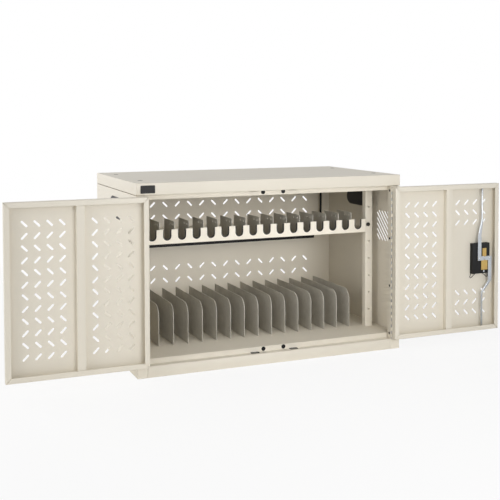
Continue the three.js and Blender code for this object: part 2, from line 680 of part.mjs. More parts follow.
// Height span of one knuckle, shortened at both ends so that neighbours run clear
function knuckleSpan(i) {
  const pitch = DOOR_HEIGHT / KNUCKLE_COUNT;
  const base = DOOR_BOTTOM + i * pitch;
  return [base + KNUCKLE_CLEARANCE / 2, base + pitch - KNUCKLE_CLEARANCE / 2];
}

function doorSheet(side, hasLock) {
  const panel = rectangle(DOOR_START, DOOR_END, DOOR_BOTTOM, DOOR_TOP);
  const holes = doorSlots(side, hasLock);
  if (hasLock) {
    holes.push(rectangle(
      LOCK_ALONG - PAN_HINGE_SIDE - FIT, LOCK_ALONG + PAN_FREE_SIDE + FIT,
      LOCK_HEIGHT - PAN_HEIGHT / 2 - FIT, LOCK_HEIGHT + PAN_HEIGHT / 2 + FIT));
  }
  const lipHole = rectangle(
    DOOR_START + DOOR_LIP, DOOR_END - DOOR_LIP, DOOR_BOTTOM + DOOR_LIP, DOOR_TOP - DOOR_LIP);
  const rim = rectangle(DOOR_START + SHEET, DOOR_END - SHEET, DOOR_BOTTOM + SHEET, DOOR_TOP - SHEET);
  let door = join(
    doorPlate(side, panel, holes, 0, SHEET),
    doorPlate(side, panel, [rim], 0, DOOR_TRAY),
    doorPlate(side, panel, [lipHole], DOOR_TRAY - SHEET, DOOR_TRAY));
  const x = side * AXIS_X;
  for (let i = 1; i < KNUCKLE_COUNT; i += 2) {
    const [z0, z1] = knuckleSpan(i);
    const knuckle = uprightBar(x, AXIS_Y, KNUCKLE_RADIUS, z0, z1);
    const strap = doorBox(side, DOOR_START - LEAF / 2, DOOR_START + LEAF / 2, -HINGE_OUT, SHEET, z0, z1);
    const bore = uprightBar(x, AXIS_Y, KNUCKLE_BORE, z0 - SHEET, z1 + SHEET);
    door = door.add(knuckle.add(strap).subtract(bore));
  }
  if (hasLock) {
    const rodX = side * (AXIS_X + ROD_ALONG);
    const rodY = DOOR_OUTER - ROD_CENTRE_DEPTH;
    door = door
      .subtract(uprightBar(rodX, rodY, ROD_HOLE / 2, DOOR_TOP - 2 * SHEET, DOOR_TOP + SHEET))
      .subtract(uprightBar(rodX, rodY, ROD_HOLE / 2, DOOR_BOTTOM - SHEET, DOOR_BOTTOM + 2 * SHEET));
  }
  return door;
}

function doorStiffener(side) {
  const a0 = DOOR_MIDDLE + side * STIFFENER_SHIFT - STIFFENER_WIDTH / 2;
  const a1 = a0 + STIFFENER_WIDTH;
  const z0 = DOOR_BOTTOM + SHEET + FIT;
  const z1 = DOOR_TOP - SHEET - FIT;
  const foot = SHEET + FIT;
  const face = foot + STIFFENER_HEIGHT;
  return join(
    doorBox(side, a0, a1, face - SHEET, face, z0, z1),
    doorBox(side, a0, a0 + SHEET, foot, face, z0, z1),
    doorBox(side, a1 - SHEET, a1, foot, face, z0, z1));
}

// Cabinet leaf of the continuous hinge with its knuckles and the pin that carries the door
function doorHinge(side) {
  const near = POST_INNER - FIT;
  const far = near - LEAF;
  const x = side * AXIS_X;
  let hinge = box(
    side * far, side * near, FRONT + 2 * FIT, FRONT + LEAF_DEPTH, DOOR_BOTTOM, DOOR_TOP);
  for (let i = 0; i < KNUCKLE_COUNT; i += 2) {
    const [z0, z1] = knuckleSpan(i);
    hinge = hinge
      .add(uprightBar(x, AXIS_Y, KNUCKLE_RADIUS, z0, z1))
      .add(box(side * far, side * near, AXIS_Y, FRONT + SHEET, z0, z1));
  }
  return hinge.add(uprightBar(x, AXIS_Y, HINGE_PIN_RADIUS, DOOR_BOTTOM, DOOR_TOP));
}

// Lock

function lockBar(radius, deep0, deep1) {
  return crossBar(AXIS_X + LOCK_ALONG, LOCK_HEIGHT, radius, DOOR_OUTER - deep0, DOOR_OUTER - deep1);
}

function handlePan() {
  const frame = (grow) => rectangle(
    LOCK_ALONG - PAN_HINGE_SIDE - grow, LOCK_ALONG + PAN_FREE_SIDE + grow,
    LOCK_HEIGHT - PAN_HEIGHT / 2 - grow, LOCK_HEIGHT + PAN_HEIGHT / 2 + grow);
  return join(
    doorPlate(1, frame(PAN_BEZEL), [], -FIT - PAN_WALL, -FIT),
    doorPlate(1, frame(0), [], -FIT - PAN_WALL, PAN_DEPTH))
    .subtract(doorPlate(1, frame(-PAN_WALL), [], -FIT - 2 * PAN_WALL, PAN_DEPTH - PAN_WALL))
    .subtract(lockBar(SHAFT_DIAMETER / 2 + FIT, PAN_DEPTH - 2 * PAN_WALL, PAN_DEPTH + PAN_WALL));
}

function handleLever() {
  const hubEnd = PAN_DEPTH - PAN_WALL - FIT;
  const arm = rectangle(
    LOCK_ALONG - LEVER_ARM, LOCK_ALONG, LOCK_HEIGHT - LEVER_WIDTH / 2, LOCK_HEIGHT + LEVER_WIDTH / 2);
  return join(
    doorPlate(1, arm, [], LEVER_RECESS, LEVER_RECESS + LEVER_THICKNESS),
    lockBar(LEVER_HUB / 2, LEVER_RECESS, hubEnd),
    lockBar(SHAFT_DIAMETER / 2, hubEnd - SHEET, PAN_DEPTH))
    .subtract(lockBar(KEY_DIAMETER / 2 + FIT, LEVER_RECESS - SHEET, LEVER_RECESS + KEY_LENGTH));
}

function keyCylinder() {
  const face = LEVER_RECESS - SHEET;
  const keyway = doorBox(1,
    LOCK_ALONG - KEYWAY_WIDTH / 2, LOCK_ALONG + KEYWAY_WIDTH / 2, face - SHEET, face + KEYWAY_DEPTH,
    LOCK_HEIGHT - KEYWAY_LENGTH / 2, LOCK_HEIGHT + KEYWAY_LENGTH / 2);
  return lockBar(KEY_DIAMETER / 2, face, LEVER_RECESS + KEY_LENGTH - FIT).subtract(keyway);
}

function lockCam() {
  const deep = PAN_DEPTH + FIT;
  const bar = rectangle(
    LOCK_ALONG - CAM_WIDTH / 2, LOCK_ALONG + CAM_WIDTH / 2, LOCK_HEIGHT - CAM_DOWN, LOCK_HEIGHT + CAM_UP);
  const arms = rectangle(
    LOCK_ALONG - CAM_ARM, LOCK_ALONG + CAM_ARM,
    LOCK_HEIGHT - CAM_ARM_WIDTH / 2, LOCK_HEIGHT + CAM_ARM_WIDTH / 2);
  return join(doorPlate(1, bar, [], deep, deep + CAM), doorPlate(1, arms, [], deep, deep + CAM));
}

// Rod with a flat strip at the lock, a tab over the cam's arm, a jog and a round end; up is 1 or -1
function lockRod(up, pinAlong, jogStart, jogEnd, tip) {
  const half = ROD_STRIP_WIDTH / 2;
  const thin = ROD_DIAMETER / 2;
  const tabEnd = LOCK_ALONG - up * ROD_TAB_GAP;
  const tabFrom = LOCK_HEIGHT - up * half;
  const strip = doorPlate(1, [
    [pinAlong - half, tabFrom], [pinAlong + half, tabFrom],
    [pinAlong + half, LOCK_HEIGHT + up * jogStart], [ROD_ALONG + thin, LOCK_HEIGHT + up * jogEnd],
    [ROD_ALONG - thin, LOCK_HEIGHT + up * jogEnd], [pinAlong - half, LOCK_HEIGHT + up * jogStart],
  ], [], ROD_STRIP_DEPTH, ROD_STRIP_DEPTH + ROD_STRIP);
  const tab = doorBox(1, pinAlong, tabEnd, ROD_STRIP_DEPTH, ROD_STRIP_DEPTH + ROD_STRIP,
    tabFrom, LOCK_HEIGHT + up * half);
  const from = LOCK_HEIGHT + up * (jogEnd - half);
  const bar = uprightBar(
    AXIS_X + ROD_ALONG, DOOR_OUTER - ROD_CENTRE_DEPTH, thin, Math.min(from, tip), Math.max(from, tip));
  return join(strip, tab, bar);
}

addPiece('base_pan', basePan(), putty);
addPiece('plinth_front', plinthFront(), putty);
addPiece('floor_pan', floorPan(), putty);
addPiece('left_side_panel', sidePanel(-1), putty);
addPiece('right_side_panel', sidePanel(1), putty);
addPiece('back_panel', backPanel(), putty);
addPiece('top_panel', topPanel(), putty);
addPiece('header_rail', headerRail(), putty);
addPiece('left_cup_handle', cupHandle(-1), blackPlastic);
addPiece('right_cup_handle', cupHandle(1), blackPlastic);
addPiece('left_rack_post', rackPost(-1), putty);
addPiece('right_rack_post', rackPost(1), putty);
addPiece('cord_shelf', cordShelf(), putty);
addPiece('notch_liner', notchLiner(), blackRubber);
for (let i = 1; i < BAYS; i += 1) {
  const x = (i - BAYS / 2) * BAY_PITCH;
  const number = String(i).padStart(2, '0');
  addPiece(`charger_divider_${number}`, upperDivider(x), greySteel);
  addPiece(`laptop_divider_${number}`, lowerDivider(x), greySteel);
}
addPiece('power_strip', powerStrip(), blackPlastic);
addPiece('power_switch', powerSwitch(), blackPlastic);
addPiece('inlet_box', inletBox(), blackPlastic);
addPiece('power_lead', powerLead(), blackRubber);
addPiece('left_hinge', doorHinge(-1), putty);
addPiece('right_hinge', doorHinge(1), putty);
addPiece('left_door', doorSheet(-1, false), putty);
addPiece('left_door_stiffener', doorStiffener(-1), putty);
addPiece('right_door', doorSheet(1, true), putty);
addPiece('right_door_stiffener', doorStiffener(1), putty);
addPiece('handle_pan', handlePan(), blackPlastic);
addPiece('handle_lever', handleLever(), blackPlastic);
addPiece('key_cylinder', keyCylinder(), zincSteel);
addPiece('lock_cam', lockCam(), yellowZinc);
const upperTip = DOOR_TOP - ROD_TIP_CLEAR;
const lowerTip = DOOR_BOTTOM + ROD_TIP_CLEAR;
addPiece('upper_rod',
  lockRod(1, LOCK_ALONG - ROD_PIN_OFFSET, ROD_JOG_START, ROD_JOG_END, upperTip), zincSteel);
addPiece('lower_rod',
  lockRod(-1, LOCK_ALONG + ROD_PIN_OFFSET, LOWER_JOG_START, LOWER_JOG_END, lowerTip), zincSteel);

export default cabinet;
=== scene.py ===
"""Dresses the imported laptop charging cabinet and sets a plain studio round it.

Sizes are in millimetres, named as on the drawing of the solids, and the helpers turn them to metres. The
front faces -Y, the origin is the middle of the footprint on the floor, and the doors stand open flat with
the front. A slot, outlet, blade, guide or mouth of three numbers is its width, height and corner radius. A
section is the radius and height points of a turned piece, along its axis.
"""
import logging
import math
from dataclasses import dataclass
from enum import Enum
from typing import Callable, Sequence

import bmesh
import bpy
from mathutils import Matrix, Vector


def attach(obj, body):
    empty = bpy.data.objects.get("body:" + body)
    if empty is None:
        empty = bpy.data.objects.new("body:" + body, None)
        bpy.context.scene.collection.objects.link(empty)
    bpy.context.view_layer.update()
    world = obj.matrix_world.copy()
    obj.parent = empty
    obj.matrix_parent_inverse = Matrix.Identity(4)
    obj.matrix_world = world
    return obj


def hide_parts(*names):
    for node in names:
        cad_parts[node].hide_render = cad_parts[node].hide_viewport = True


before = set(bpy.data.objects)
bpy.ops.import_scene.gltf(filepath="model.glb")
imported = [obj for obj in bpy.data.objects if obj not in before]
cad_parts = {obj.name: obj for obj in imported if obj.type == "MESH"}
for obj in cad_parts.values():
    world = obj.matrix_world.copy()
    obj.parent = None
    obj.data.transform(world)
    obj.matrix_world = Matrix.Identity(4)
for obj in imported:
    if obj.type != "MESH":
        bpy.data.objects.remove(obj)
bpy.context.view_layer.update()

MM = 0.001
SHEET = 1.5
BEND = 2.5
LEAST_BEND = 0.1
# Points nearer than this are one point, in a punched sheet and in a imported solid
SHEET_WELD = 0.002
SOLID_WELD = 0.005
# Angles in degrees: faces that turn less than the first are one flat face, edges sharper than the second are
# eased
FLAT_ANGLE = 1.0
EDGE_ANGLE = 30.0
# Span that nearly all values of a noise texture lie in
NOISE_SPAN = (0.3, 0.7)
Point = tuple[float, float]
Triple = tuple[float, float, float]
Outline = list[Point]
Section = tuple[Point, ...]
log = logging.getLogger("cabinet")


class Side(Enum):
    """Side of the cabinet a piece is on, with the sign of its X."""

    LEFT = -1
    RIGHT = 1

    @property
    def word(self) -> str:
        """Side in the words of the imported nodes."""
        return self.name.lower()


class Plane(Enum):
    """How a drawn outline stands: its two drawing axes, then the axis that it is thick along."""

    FLAT = (0, 1, 2)
    FRONTAL = (0, 2, 1)
    SIDEWAYS = (1, 2, 0)

    def at(self, a: float, b: float, depth: float) -> Vector:
        """Places a drawn point.

        Args:
            a: First drawing coordinate, in millimetres.
            b: Second drawing coordinate, in millimetres.
            depth: Place along the thickness, in millimetres.

        Returns:
            The point in metres, in the cabinet's frame.
        """
        place = Vector((0.0, 0.0, 0.0))
        for axis, value in zip(self.value, (a, b, depth)):
            place[axis] = value * MM
        return place


class Body(Enum):
    """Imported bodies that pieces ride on."""

    CABINET = "cabinet"
    LEFT_DOOR = "left_door"
    RIGHT_DOOR = "right_door"
    HANDLE = "handle"
    KEY = "key"
    UPPER_ROD = "upper_rod"
    LOWER_ROD = "lower_rod"
    SWITCH = "switch"


def linear(code: str) -> tuple[float, float, float, float]:
    """Turns an sRGB hex colour to linear light.

    Args:
        code: Six hex digits.

    Returns:
        Red, green, blue and an alpha of 1.
    """
    parts = [int(code[i:i + 2], 16) / 255 for i in (0, 2, 4)]
    red, green, blue = [p / 12.92 if p <= 0.04045 else ((p + 0.055) / 1.055) ** 2.4 for p in parts]
    return red, green, blue, 1.0


def add_node(
    tree: bpy.types.NodeTree,
    kind: str,
    links: dict[str | int, bpy.types.NodeSocket] | None = None,
    values: dict[str | int, object] | None = None,
    **settings: object,
) -> bpy.types.Node:
    """Adds one node with its settings, socket values and incoming links.

    Args:
        tree: Node tree that takes the node.
        kind: Type name of the node.
        links: Sockets that feed the node's inputs.
        values: Constants for the node's inputs.
        **settings: Properties of the node itself.

    Returns:
        The new node.
    """
    node = tree.nodes.new(kind)
    for name, value in settings.items():
        setattr(node, name, value)
    for key, value in (values or {}).items():
        node.inputs[key].default_value = value
    for key, socket in (links or {}).items():
        tree.links.new(socket, node.inputs[key])
    return node


@dataclass(frozen=True)
class Finish:
    """A surface: its name, the record's slot, which is not used, and the even part of its look.

    Grain is the size of the surface's texture and relief is its height, both in millimetres. Drift is how far
    the colour strays, from 0 to 1, over patches of the given size in millimetres. Stretch below 1 draws the
    grain out along that axis.
    """

    name: str
    slot: str
    colour: str
    roughness: float
    metallic: float = 0.0
    specular: float = 0.5
    grain: float = 3.0
    relief: float = 0.05
    drift: float = 0.05
    patch: float = 180.0
    drift_colour: str = "808080"
    roughness_swing: float = 0.06
    stretch: Triple = (1.0, 1.0, 1.0)
    bump: float = 0.35

    def material(self) -> bpy.types.Material:
        """Makes the material of this finish the first time that it is asked for.

        Returns:
            The material.
        """
        made = bpy.data.materials.get(self.name)
        if made:
            return made
        made = bpy.data.materials.new(self.name)
        made.use_nodes = True
        made.diffuse_color = linear(self.colour)
        tree = made.node_tree
        shader = tree.nodes["Principled BSDF"]
        shader.inputs["Metallic"].default_value = self.metallic
        shader.inputs["Specular IOR Level"].default_value = self.specular
        low, high = NOISE_SPAN
        place = add_node(tree, "ShaderNodeTexCoord").outputs["Object"]
        stretched = add_node(
            tree, "ShaderNodeMapping", {"Vector": place}, {"Scale": self.stretch}).outputs["Vector"]
        patches = add_node(
            tree, "ShaderNodeTexNoise", {"Vector": place},
            {"Scale": 1 / (self.patch * MM), "Detail": 3.0, "Roughness": 0.55})
        grain = add_node(
            tree, "ShaderNodeTexNoise", {"Vector": stretched},
            {"Scale": 1 / (self.grain * MM), "Detail": 2.0, "Roughness": 0.5})
        stray = add_node(
            tree, "ShaderNodeMapRange", {"Value": patches.outputs["Fac"]},
            {"From Min": low, "From Max": high, "To Min": 0.0, "To Max": self.drift})
        # Inputs 6 and 7 and output 2 are the colour sockets of a mix node
        colour = add_node(
            tree, "ShaderNodeMix", {"Factor": stray.outputs["Result"]},
            {6: linear(self.colour), 7: linear(self.drift_colour)}, data_type="RGBA")
        tree.links.new(colour.outputs[2], shader.inputs["Base Color"])
        rough = add_node(
            tree, "ShaderNodeMapRange", {"Value": grain.outputs["Fac"]},
            {"From Min": low, "From Max": high, "To Min": self.roughness - self.roughness_swing,
             "To Max": self.roughness + self.roughness_swing})
        tree.links.new(rough.outputs["Result"], shader.inputs["Roughness"])
        bump = add_node(
            tree, "ShaderNodeBump", {"Height": grain.outputs["Fac"]},
            {"Strength": self.bump, "Distance": self.relief * MM})
        tree.links.new(bump.outputs["Normal"], shader.inputs["Normal"])
        return made


# Polyester powder baked on steel: satin, with a soft orange peel. The peel is 1 to 2 mm on the real sheet and
# is drawn at 5 mm, so that it still shows as a slight unevenness in the sheen
PUTTY_POWDER_COAT = Finish(
    "powder_coated_steel_putty", "putty_powder_coat", "e9e2d3", 0.46, grain=5.0, relief=0.12,
    drift=0.10, patch=240.0, drift_colour="d9d0bd")

# The same baked powder in a warm grey, on the thin divider plates: a little rougher, and mottled by handling.
# Its peel is drawn at 5 mm too
GREY_POWDER_COAT = Finish(
    "powder_coated_steel_grey", "grey_powder_coat", "c9c5bb", 0.52, grain=5.0, relief=0.12,
    drift=0.35, patch=24.0, drift_colour="a5a198")

# Moulded ABS with a fine spark-eroded grain, which spreads the highlight. The grain is about 0.3 mm and is
# drawn at 2 mm
BLACK_PLASTIC = Finish(
    "moulded_abs_black", "black_plastic", "121213", 0.48, specular=0.3, grain=2.0, relief=0.10,
    drift=0.25, patch=40.0, drift_colour="1c1c1d", roughness_swing=0.08)

# Bright zinc plate on drawn rod and cut strip: cool and streaky along the length, with cloudy patches
ZINC_PLATE = Finish(
    "zinc_plated_steel", "zinc_plate", "c6cace", 0.34, metallic=1.0, grain=3.0, relief=0.03,
    drift=0.35, patch=25.0, drift_colour="9aa0a8", roughness_swing=0.10, stretch=(1.0, 1.0, 0.12))

# Yellow passivated zinc: gold that strays to olive and rose over the plate, with a dull sheen
YELLOW_ZINC = Finish(
    "yellow_passivated_zinc", "yellow_zinc_plate", "cbb06a", 0.38, metallic=0.9, grain=2.5, relief=0.03,
    drift=0.55, patch=16.0, drift_colour="b98a5c", roughness_swing=0.10)

# Moulded nitrile rubber: near black and matt, with a faint bloom
BLACK_RUBBER = Finish(
    "moulded_rubber_black", "black_rubber", "151515", 0.66, specular=0.3, grain=2.0, relief=0.08,
    drift=0.30, patch=20.0, drift_colour="222222")


def circle(a: float, b: float, radius: float, sides: int = 20) -> Outline:
    """Draws a round outline about a centre."""
    turns = [(i + 0.5) * math.tau / sides for i in range(sides)]
    return [(a + radius * math.cos(t), b + radius * math.sin(t)) for t in turns]


def rectangle(a0: float, a1: float, b0: float, b1: float) -> Outline:
    """Draws a square-cornered outline between two corners."""
    return [(a0, b0), (a1, b0), (a1, b1), (a0, b1)]


def rounded(a: float, b: float, width: float, height: float, radius: float, steps: int = 6) -> Outline:
    """Draws a rectangle with round corners.

    Args:
        a: Middle along the first axis.
        b: Middle along the second axis.
        width: Full width.
        height: Full height.
        radius: Corner radius.
        steps: Straight pieces in each corner.

    Returns:
        The outline, anticlockwise.
    """
    points: Outline = []
    for quarter, (sa, sb) in enumerate([(1, 1), (-1, 1), (-1, -1), (1, -1)]):
        ca = a + sa * (width / 2 - radius)
        cb = b + sb * (height / 2 - radius)
        for step in range(steps + 1):
            turn = (quarter + step / steps) * math.pi / 2
            points.append((ca + radius * math.cos(turn), cb + radius * math.sin(turn)))
    return points


def obround(a: float, b: float, length: float, width: float, lean: float, steps: int = 6) -> Outline:
    """Draws a punched slot with round ends.

    Args:
        a: Middle along the first axis.
        b: Middle along the second axis.
        length: Length over the round ends.
        width: Width.
        lean: Turn from the first axis, in degrees.
        steps: Straight pieces in each end.

    Returns:
        The outline, anticlockwise.
    """
    reach = (length - width) / 2
    turn = math.radians(lean)
    points: Outline = []
    for end in (1, -1):
        for step in range(steps + 1):
            spin = math.pi * (step / steps - 0.5) + (0 if end > 0 else math.pi)
            p = end * reach + width / 2 * math.cos(spin)
            q = width / 2 * math.sin(spin)
            points.append((a + p * math.cos(turn) - q * math.sin(turn),
                           b + p * math.sin(turn) + q * math.cos(turn)))
    return points


def eased(points: Sequence[Vector], steps: int = 8) -> list[Vector]:
    """Runs a smooth line through points.

    Args:
        points: Points to pass through, in order.
        steps: Pieces between each pair.

    Returns:
        Points along the smooth line, both ends included.
    """
    line: list[Vector] = []
    last = len(points) - 1
    for i in range(last):
        p0, p1, p2, p3 = points[max(i - 1, 0)], points[i], points[i + 1], points[min(i + 2, last)]
        for step in range(steps):
            t = step / steps
            line.append(0.5 * (2 * p1 + (p2 - p0) * t + (2 * p0 - 5 * p1 + 4 * p2 - p3) * t ** 2
                               + (3 * p1 - p0 - 3 * p2 + p3) * t ** 3))
    return [*line, points[last].copy()]


class Workpiece:
    """A mesh in the making, with the ways of adding metal, plastic and wire to it."""

    def __init__(self) -> None:
        """Starts an empty mesh."""
        self.mesh = bmesh.new()

    def loft(self, rings: Sequence[Sequence[Vector]], smooth: bool = True) -> None:
        """Skins a run of closed rings and caps both ends.

        Args:
            rings: Rings of as many points each, in metres.
            smooth: Whether the skin is shaded as round.
        """
        rows = [[self.mesh.verts.new(p) for p in ring] for ring in rings]
        count = len(rows[0])
        for low, high in zip(rows, rows[1:]):
            for i in range(count):
                j = (i + 1) % count
                face = self.mesh.faces.new((low[i], low[j], high[j], high[i]))
                face.smooth = smooth
        self.mesh.faces.new(rows[0][::-1])
        self.mesh.faces.new(rows[-1])

    def plate(
        self, plane: Plane, outline: Outline, holes: Sequence[Outline], near: float, far: float,
    ) -> None:
        """Adds a flat sheet with punched holes.

        Args:
            plane: Plane that the sheet lies in.
            outline: Outer edge.
            holes: Edges of the holes.
            near: Place of one face along the thickness.
            far: Place of the other face.
        """
        curve = bpy.data.curves.new("punched", "CURVE")
        curve.dimensions = "2D"
        curve.fill_mode = "BOTH"
        curve.extrude = abs(far - near) / 2 * MM
        for points in [outline, *holes]:
            spline = curve.splines.new("POLY")
            spline.points.add(len(points) - 1)
            for target, (a, b) in zip(spline.points, points):
                target.co = (a * MM, b * MM, 0.0, 1.0)
            spline.use_cyclic_u = True
        holder = bpy.data.objects.new("punched", curve)
        flat = bpy.data.meshes.new_from_object(holder)
        sheet = bmesh.new()
        sheet.from_mesh(flat)
        bmesh.ops.remove_doubles(sheet, verts=sheet.verts, dist=SHEET_WELD * MM)
        middle = (near + far) / 2
        for vert in sheet.verts:
            x, y, z = vert.co / MM
            vert.co = plane.at(x, y, middle + z)
        sheet.to_mesh(flat)
        self.mesh.from_mesh(flat)
        sheet.free()
        bpy.data.objects.remove(holder)
        bpy.data.curves.remove(curve)
        bpy.data.meshes.remove(flat)

    @staticmethod
    def fold_lines(path: Outline, thickness: float, bend: float) -> tuple[Outline, Outline, list[bool]]:
        """Works out both faces of a sheet that is folded along a path.

        Args:
            path: Corners of one face, in order. The metal lies on the left of it.
            thickness: Thickness of the sheet.
            bend: Outside radius of each fold.

        Returns:
            Points of the path's face, points of the other face, and for each piece between points whether it
            belongs to a fold.
        """
        steps = 4
        corners = [Vector(p) for p in path]
        face: Outline = []
        other: Outline = []
        round_piece: list[bool] = []
        for i, corner in enumerate(corners):
            before = (corner - corners[i - 1]).normalized() if i else None
            after = (corners[i + 1] - corner).normalized() if i < len(corners) - 1 else None
            if before is None or after is None:
                way = after or before
                left = Vector((-way.y, way.x))
                face.append(tuple(corner))
                other.append(tuple(corner + left * thickness))
                round_piece.append(False)
                continue
            turn = math.atan2(before.x * after.y - before.y * after.x, before.dot(after))
            hand = 1 if turn > 0 else -1
            radius = bend if hand > 0 else max(bend - thickness, LEAST_BEND)
            start = corner - before * radius * math.tan(abs(turn) / 2)
            centre = start + Vector((-before.y, before.x)) * radius * hand
            for step in range(steps + 1):
                way = Matrix.Rotation(turn * step / steps, 2) @ before
                left = Vector((-way.y, way.x))
                point = centre - left * radius * hand
                face.append(tuple(point))
                other.append(tuple(point + left * thickness))
                round_piece.append(step < steps)
        return face, other, round_piece[:-1]

    def fold(
        self, plane: Plane, path: Outline, near: float, far: float, thickness: float = SHEET,
        bend: float = BEND,
    ) -> None:
        """Adds a sheet folded along a path and drawn out from near to far.

        Args:
            plane: Plane that the path is drawn in.
            path: Corners of one face. The metal lies on the left of it.
            near: Start of the sheet along the third axis.
            far: End of the sheet.
            thickness: Thickness of the sheet.
            bend: Outside radius of the folds.
        """
        face, other, round_piece = self.fold_lines(path, thickness, bend)
        rows = [[self.mesh.verts.new(plane.at(a, b, depth)) for a, b in line]
                for depth in (near, far) for line in (face, other)]
        near_face, near_other, far_face, far_other = rows
        for i, smooth in enumerate(round_piece):
            j = i + 1
            for a, b in ((near_face, far_face), (near_other, far_other)):
                skin = self.mesh.faces.new((a[i], a[j], b[j], b[i]))
                skin.smooth = smooth
            self.mesh.faces.new((near_face[i], near_face[j], near_other[j], near_other[i]))
            self.mesh.faces.new((far_face[i], far_face[j], far_other[j], far_other[i]))
        for i in (0, -1):
            self.mesh.faces.new((near_face[i], far_face[i], far_other[i], near_other[i]))

    def picture_frame(
        self, path: Outline, thickness: float, bend: float, place: Callable[[float, float, int], Vector],
        gap: float = 0.0,
    ) -> None:
        """Adds a folded sheet that runs round the four sides of a rectangle, mitred at the corners.

        Args:
            path: Corners of one face of the section, as inset and depth.
            thickness: Thickness of the sheet.
            bend: Outside radius of the folds.
            place: Gives a point in metres from inset, depth and the number of the corner.
            gap: Width of the open mitre at each corner, or 0 for corners that are closed.
        """
        face, other, round_piece = self.fold_lines(path, thickness, bend)
        section = [*face, *other[::-1]]
        flags = [*round_piece, False, *round_piece[::-1], False]

        def ring(corner: int, shift: Vector) -> list[bmesh.types.BMVert]:
            """Makes the section's points at one corner."""
            return [self.mesh.verts.new(place(inset, depth, corner % 4) + shift) for inset, depth in section]

        if gap:
            spots = [place(0.0, 0.0, corner) for corner in (0, 1, 2, 3, 0)]
            shifts = [(b - a).normalized() * gap * MM / math.sqrt(2.0) for a, b in zip(spots, spots[1:])]
            runs = [(ring(i, shift), ring(i + 1, -shift)) for i, shift in enumerate(shifts)]
            for here, there in runs:
                self.mesh.faces.new(here[::-1])
                self.mesh.faces.new(there)
        else:
            rings = [ring(corner, Vector()) for corner in range(4)]
            runs = list(zip(rings, [*rings[1:], rings[0]]))
        for here, there in runs:
            for i, smooth in enumerate(flags):
                j = (i + 1) % len(section)
                skin = self.mesh.faces.new((here[i], here[j], there[j], there[i]))
                skin.smooth = smooth

    def turn(
        self, profile: Sequence[Point], origin: Sequence[float], axis: Sequence[float], sides: int = 24,
    ) -> None:
        """Adds a turned piece.

        Args:
            profile: Radius and height points along the axis, in millimetres.
            origin: Foot of the axis, in millimetres.
            axis: Direction of the axis.
            sides: Pieces round the axis.
        """
        spin = Vector(axis).to_track_quat("Z", "Y")
        foot = Vector(origin)
        turns = [i * math.tau / sides for i in range(sides)]
        self.loft([
            [(foot + spin @ Vector((r * math.cos(t), r * math.sin(t), h))) * MM for t in turns]
            for r, h in profile])

    def tube(self, points: Sequence[Vector], radius: float, sides: int = 12) -> None:
        """Adds a round wire or tube along a line.

        Args:
            points: Points of the line, in millimetres.
            radius: Radius of the wire.
            sides: Pieces round it.
        """
        rings = []
        across = None
        last = len(points) - 1
        turns = [k * math.tau / sides for k in range(sides)]
        for i, point in enumerate(points):
            along = (points[min(i + 1, last)] - points[max(i - 1, 0)]).normalized()
            across = along.orthogonal() if across is None else across - along * across.dot(along)
            across.normalize()
            third = along.cross(across)
            rings.append([
                (point + (across * math.cos(t) + third * math.sin(t)) * radius) * MM for t in turns])
        self.loft(rings)

    def block(
        self, low: Sequence[float], high: Sequence[float], edge: float = 0.6, segments: int = 2,
    ) -> None:
        """Adds a block with eased edges between two corners.

        Args:
            low: Lowest corner, in millimetres.
            high: Highest corner.
            edge: Radius of the edges.
            segments: Pieces across each edge.
        """
        middle = (Vector(low) + Vector(high)) / 2 * MM
        size = (Vector(high) - Vector(low)) * MM
        scale = Matrix.Translation(middle) @ Matrix.Diagonal((*size, 1.0))
        solid = bmesh.new()
        bmesh.ops.create_cube(solid, size=1.0, matrix=scale)
        self._take(solid, edge, segments)

    def copy_of(self, node: str, edge: float = 0.5, segments: int = 2) -> None:
        """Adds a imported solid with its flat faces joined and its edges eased.

        Args:
            node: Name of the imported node.
            edge: Radius of the edges, in millimetres.
            segments: Pieces across each edge.
        """
        solid = bmesh.new()
        solid.from_mesh(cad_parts[node].data)
        solid.transform(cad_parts[node].matrix_world)
        bmesh.ops.remove_doubles(solid, verts=solid.verts, dist=SOLID_WELD * MM)
        bmesh.ops.dissolve_limit(
            solid, angle_limit=math.radians(FLAT_ANGLE), verts=solid.verts, edges=solid.edges)
        self._take(solid, edge, segments)

    def _take(self, solid: bmesh.types.BMesh, edge: float, segments: int) -> None:
        """Eases the edges of a solid, adds it to the mesh and frees it.

        Args:
            solid: The solid, in metres.
            edge: Radius of the edges, in millimetres.
            segments: Pieces across each edge.
        """
        for face in solid.faces:
            face.smooth = False
        sharp = [e for e in solid.edges
                 if len(e.link_faces) == 2 and e.calc_face_angle(0.0) > math.radians(EDGE_ANGLE)]
        bmesh.ops.bevel(
            solid, geom=sharp, offset=edge * MM, segments=segments, profile=0.5, affect="EDGES",
            clamp_overlap=True)
        carrier = bpy.data.meshes.new("carrier")
        solid.to_mesh(carrier)
        solid.free()
        self.mesh.from_mesh(carrier)
        bpy.data.meshes.remove(carrier)

    def finish(
        self, name: str, finish: Finish, body: Body, replaces: Sequence[str] = (), crease: float = 38.0,
    ) -> None:
        """Turns the mesh into a piece of the cabinet.

        Args:
            name: Name of the piece.
            finish: Its surface.
            body: Body that it rides on.
            replaces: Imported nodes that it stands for.
            crease: Angle above which an edge stays sharp, in degrees.
        """
        bmesh.ops.recalc_face_normals(self.mesh, faces=self.mesh.faces)
        data = bpy.data.meshes.new(name)
        self.mesh.to_mesh(data)
        self.mesh.free()
        data.set_sharp_from_angle(angle=math.radians(crease))
        data.materials.append(finish.material())
        piece = bpy.data.objects.new(name, data)
        bpy.context.collection.objects.link(piece)
        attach(piece, body.value)
        if replaces:
            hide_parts(*replaces)
        log.info("%s rides on %s in %s", name, body.value, finish.name)


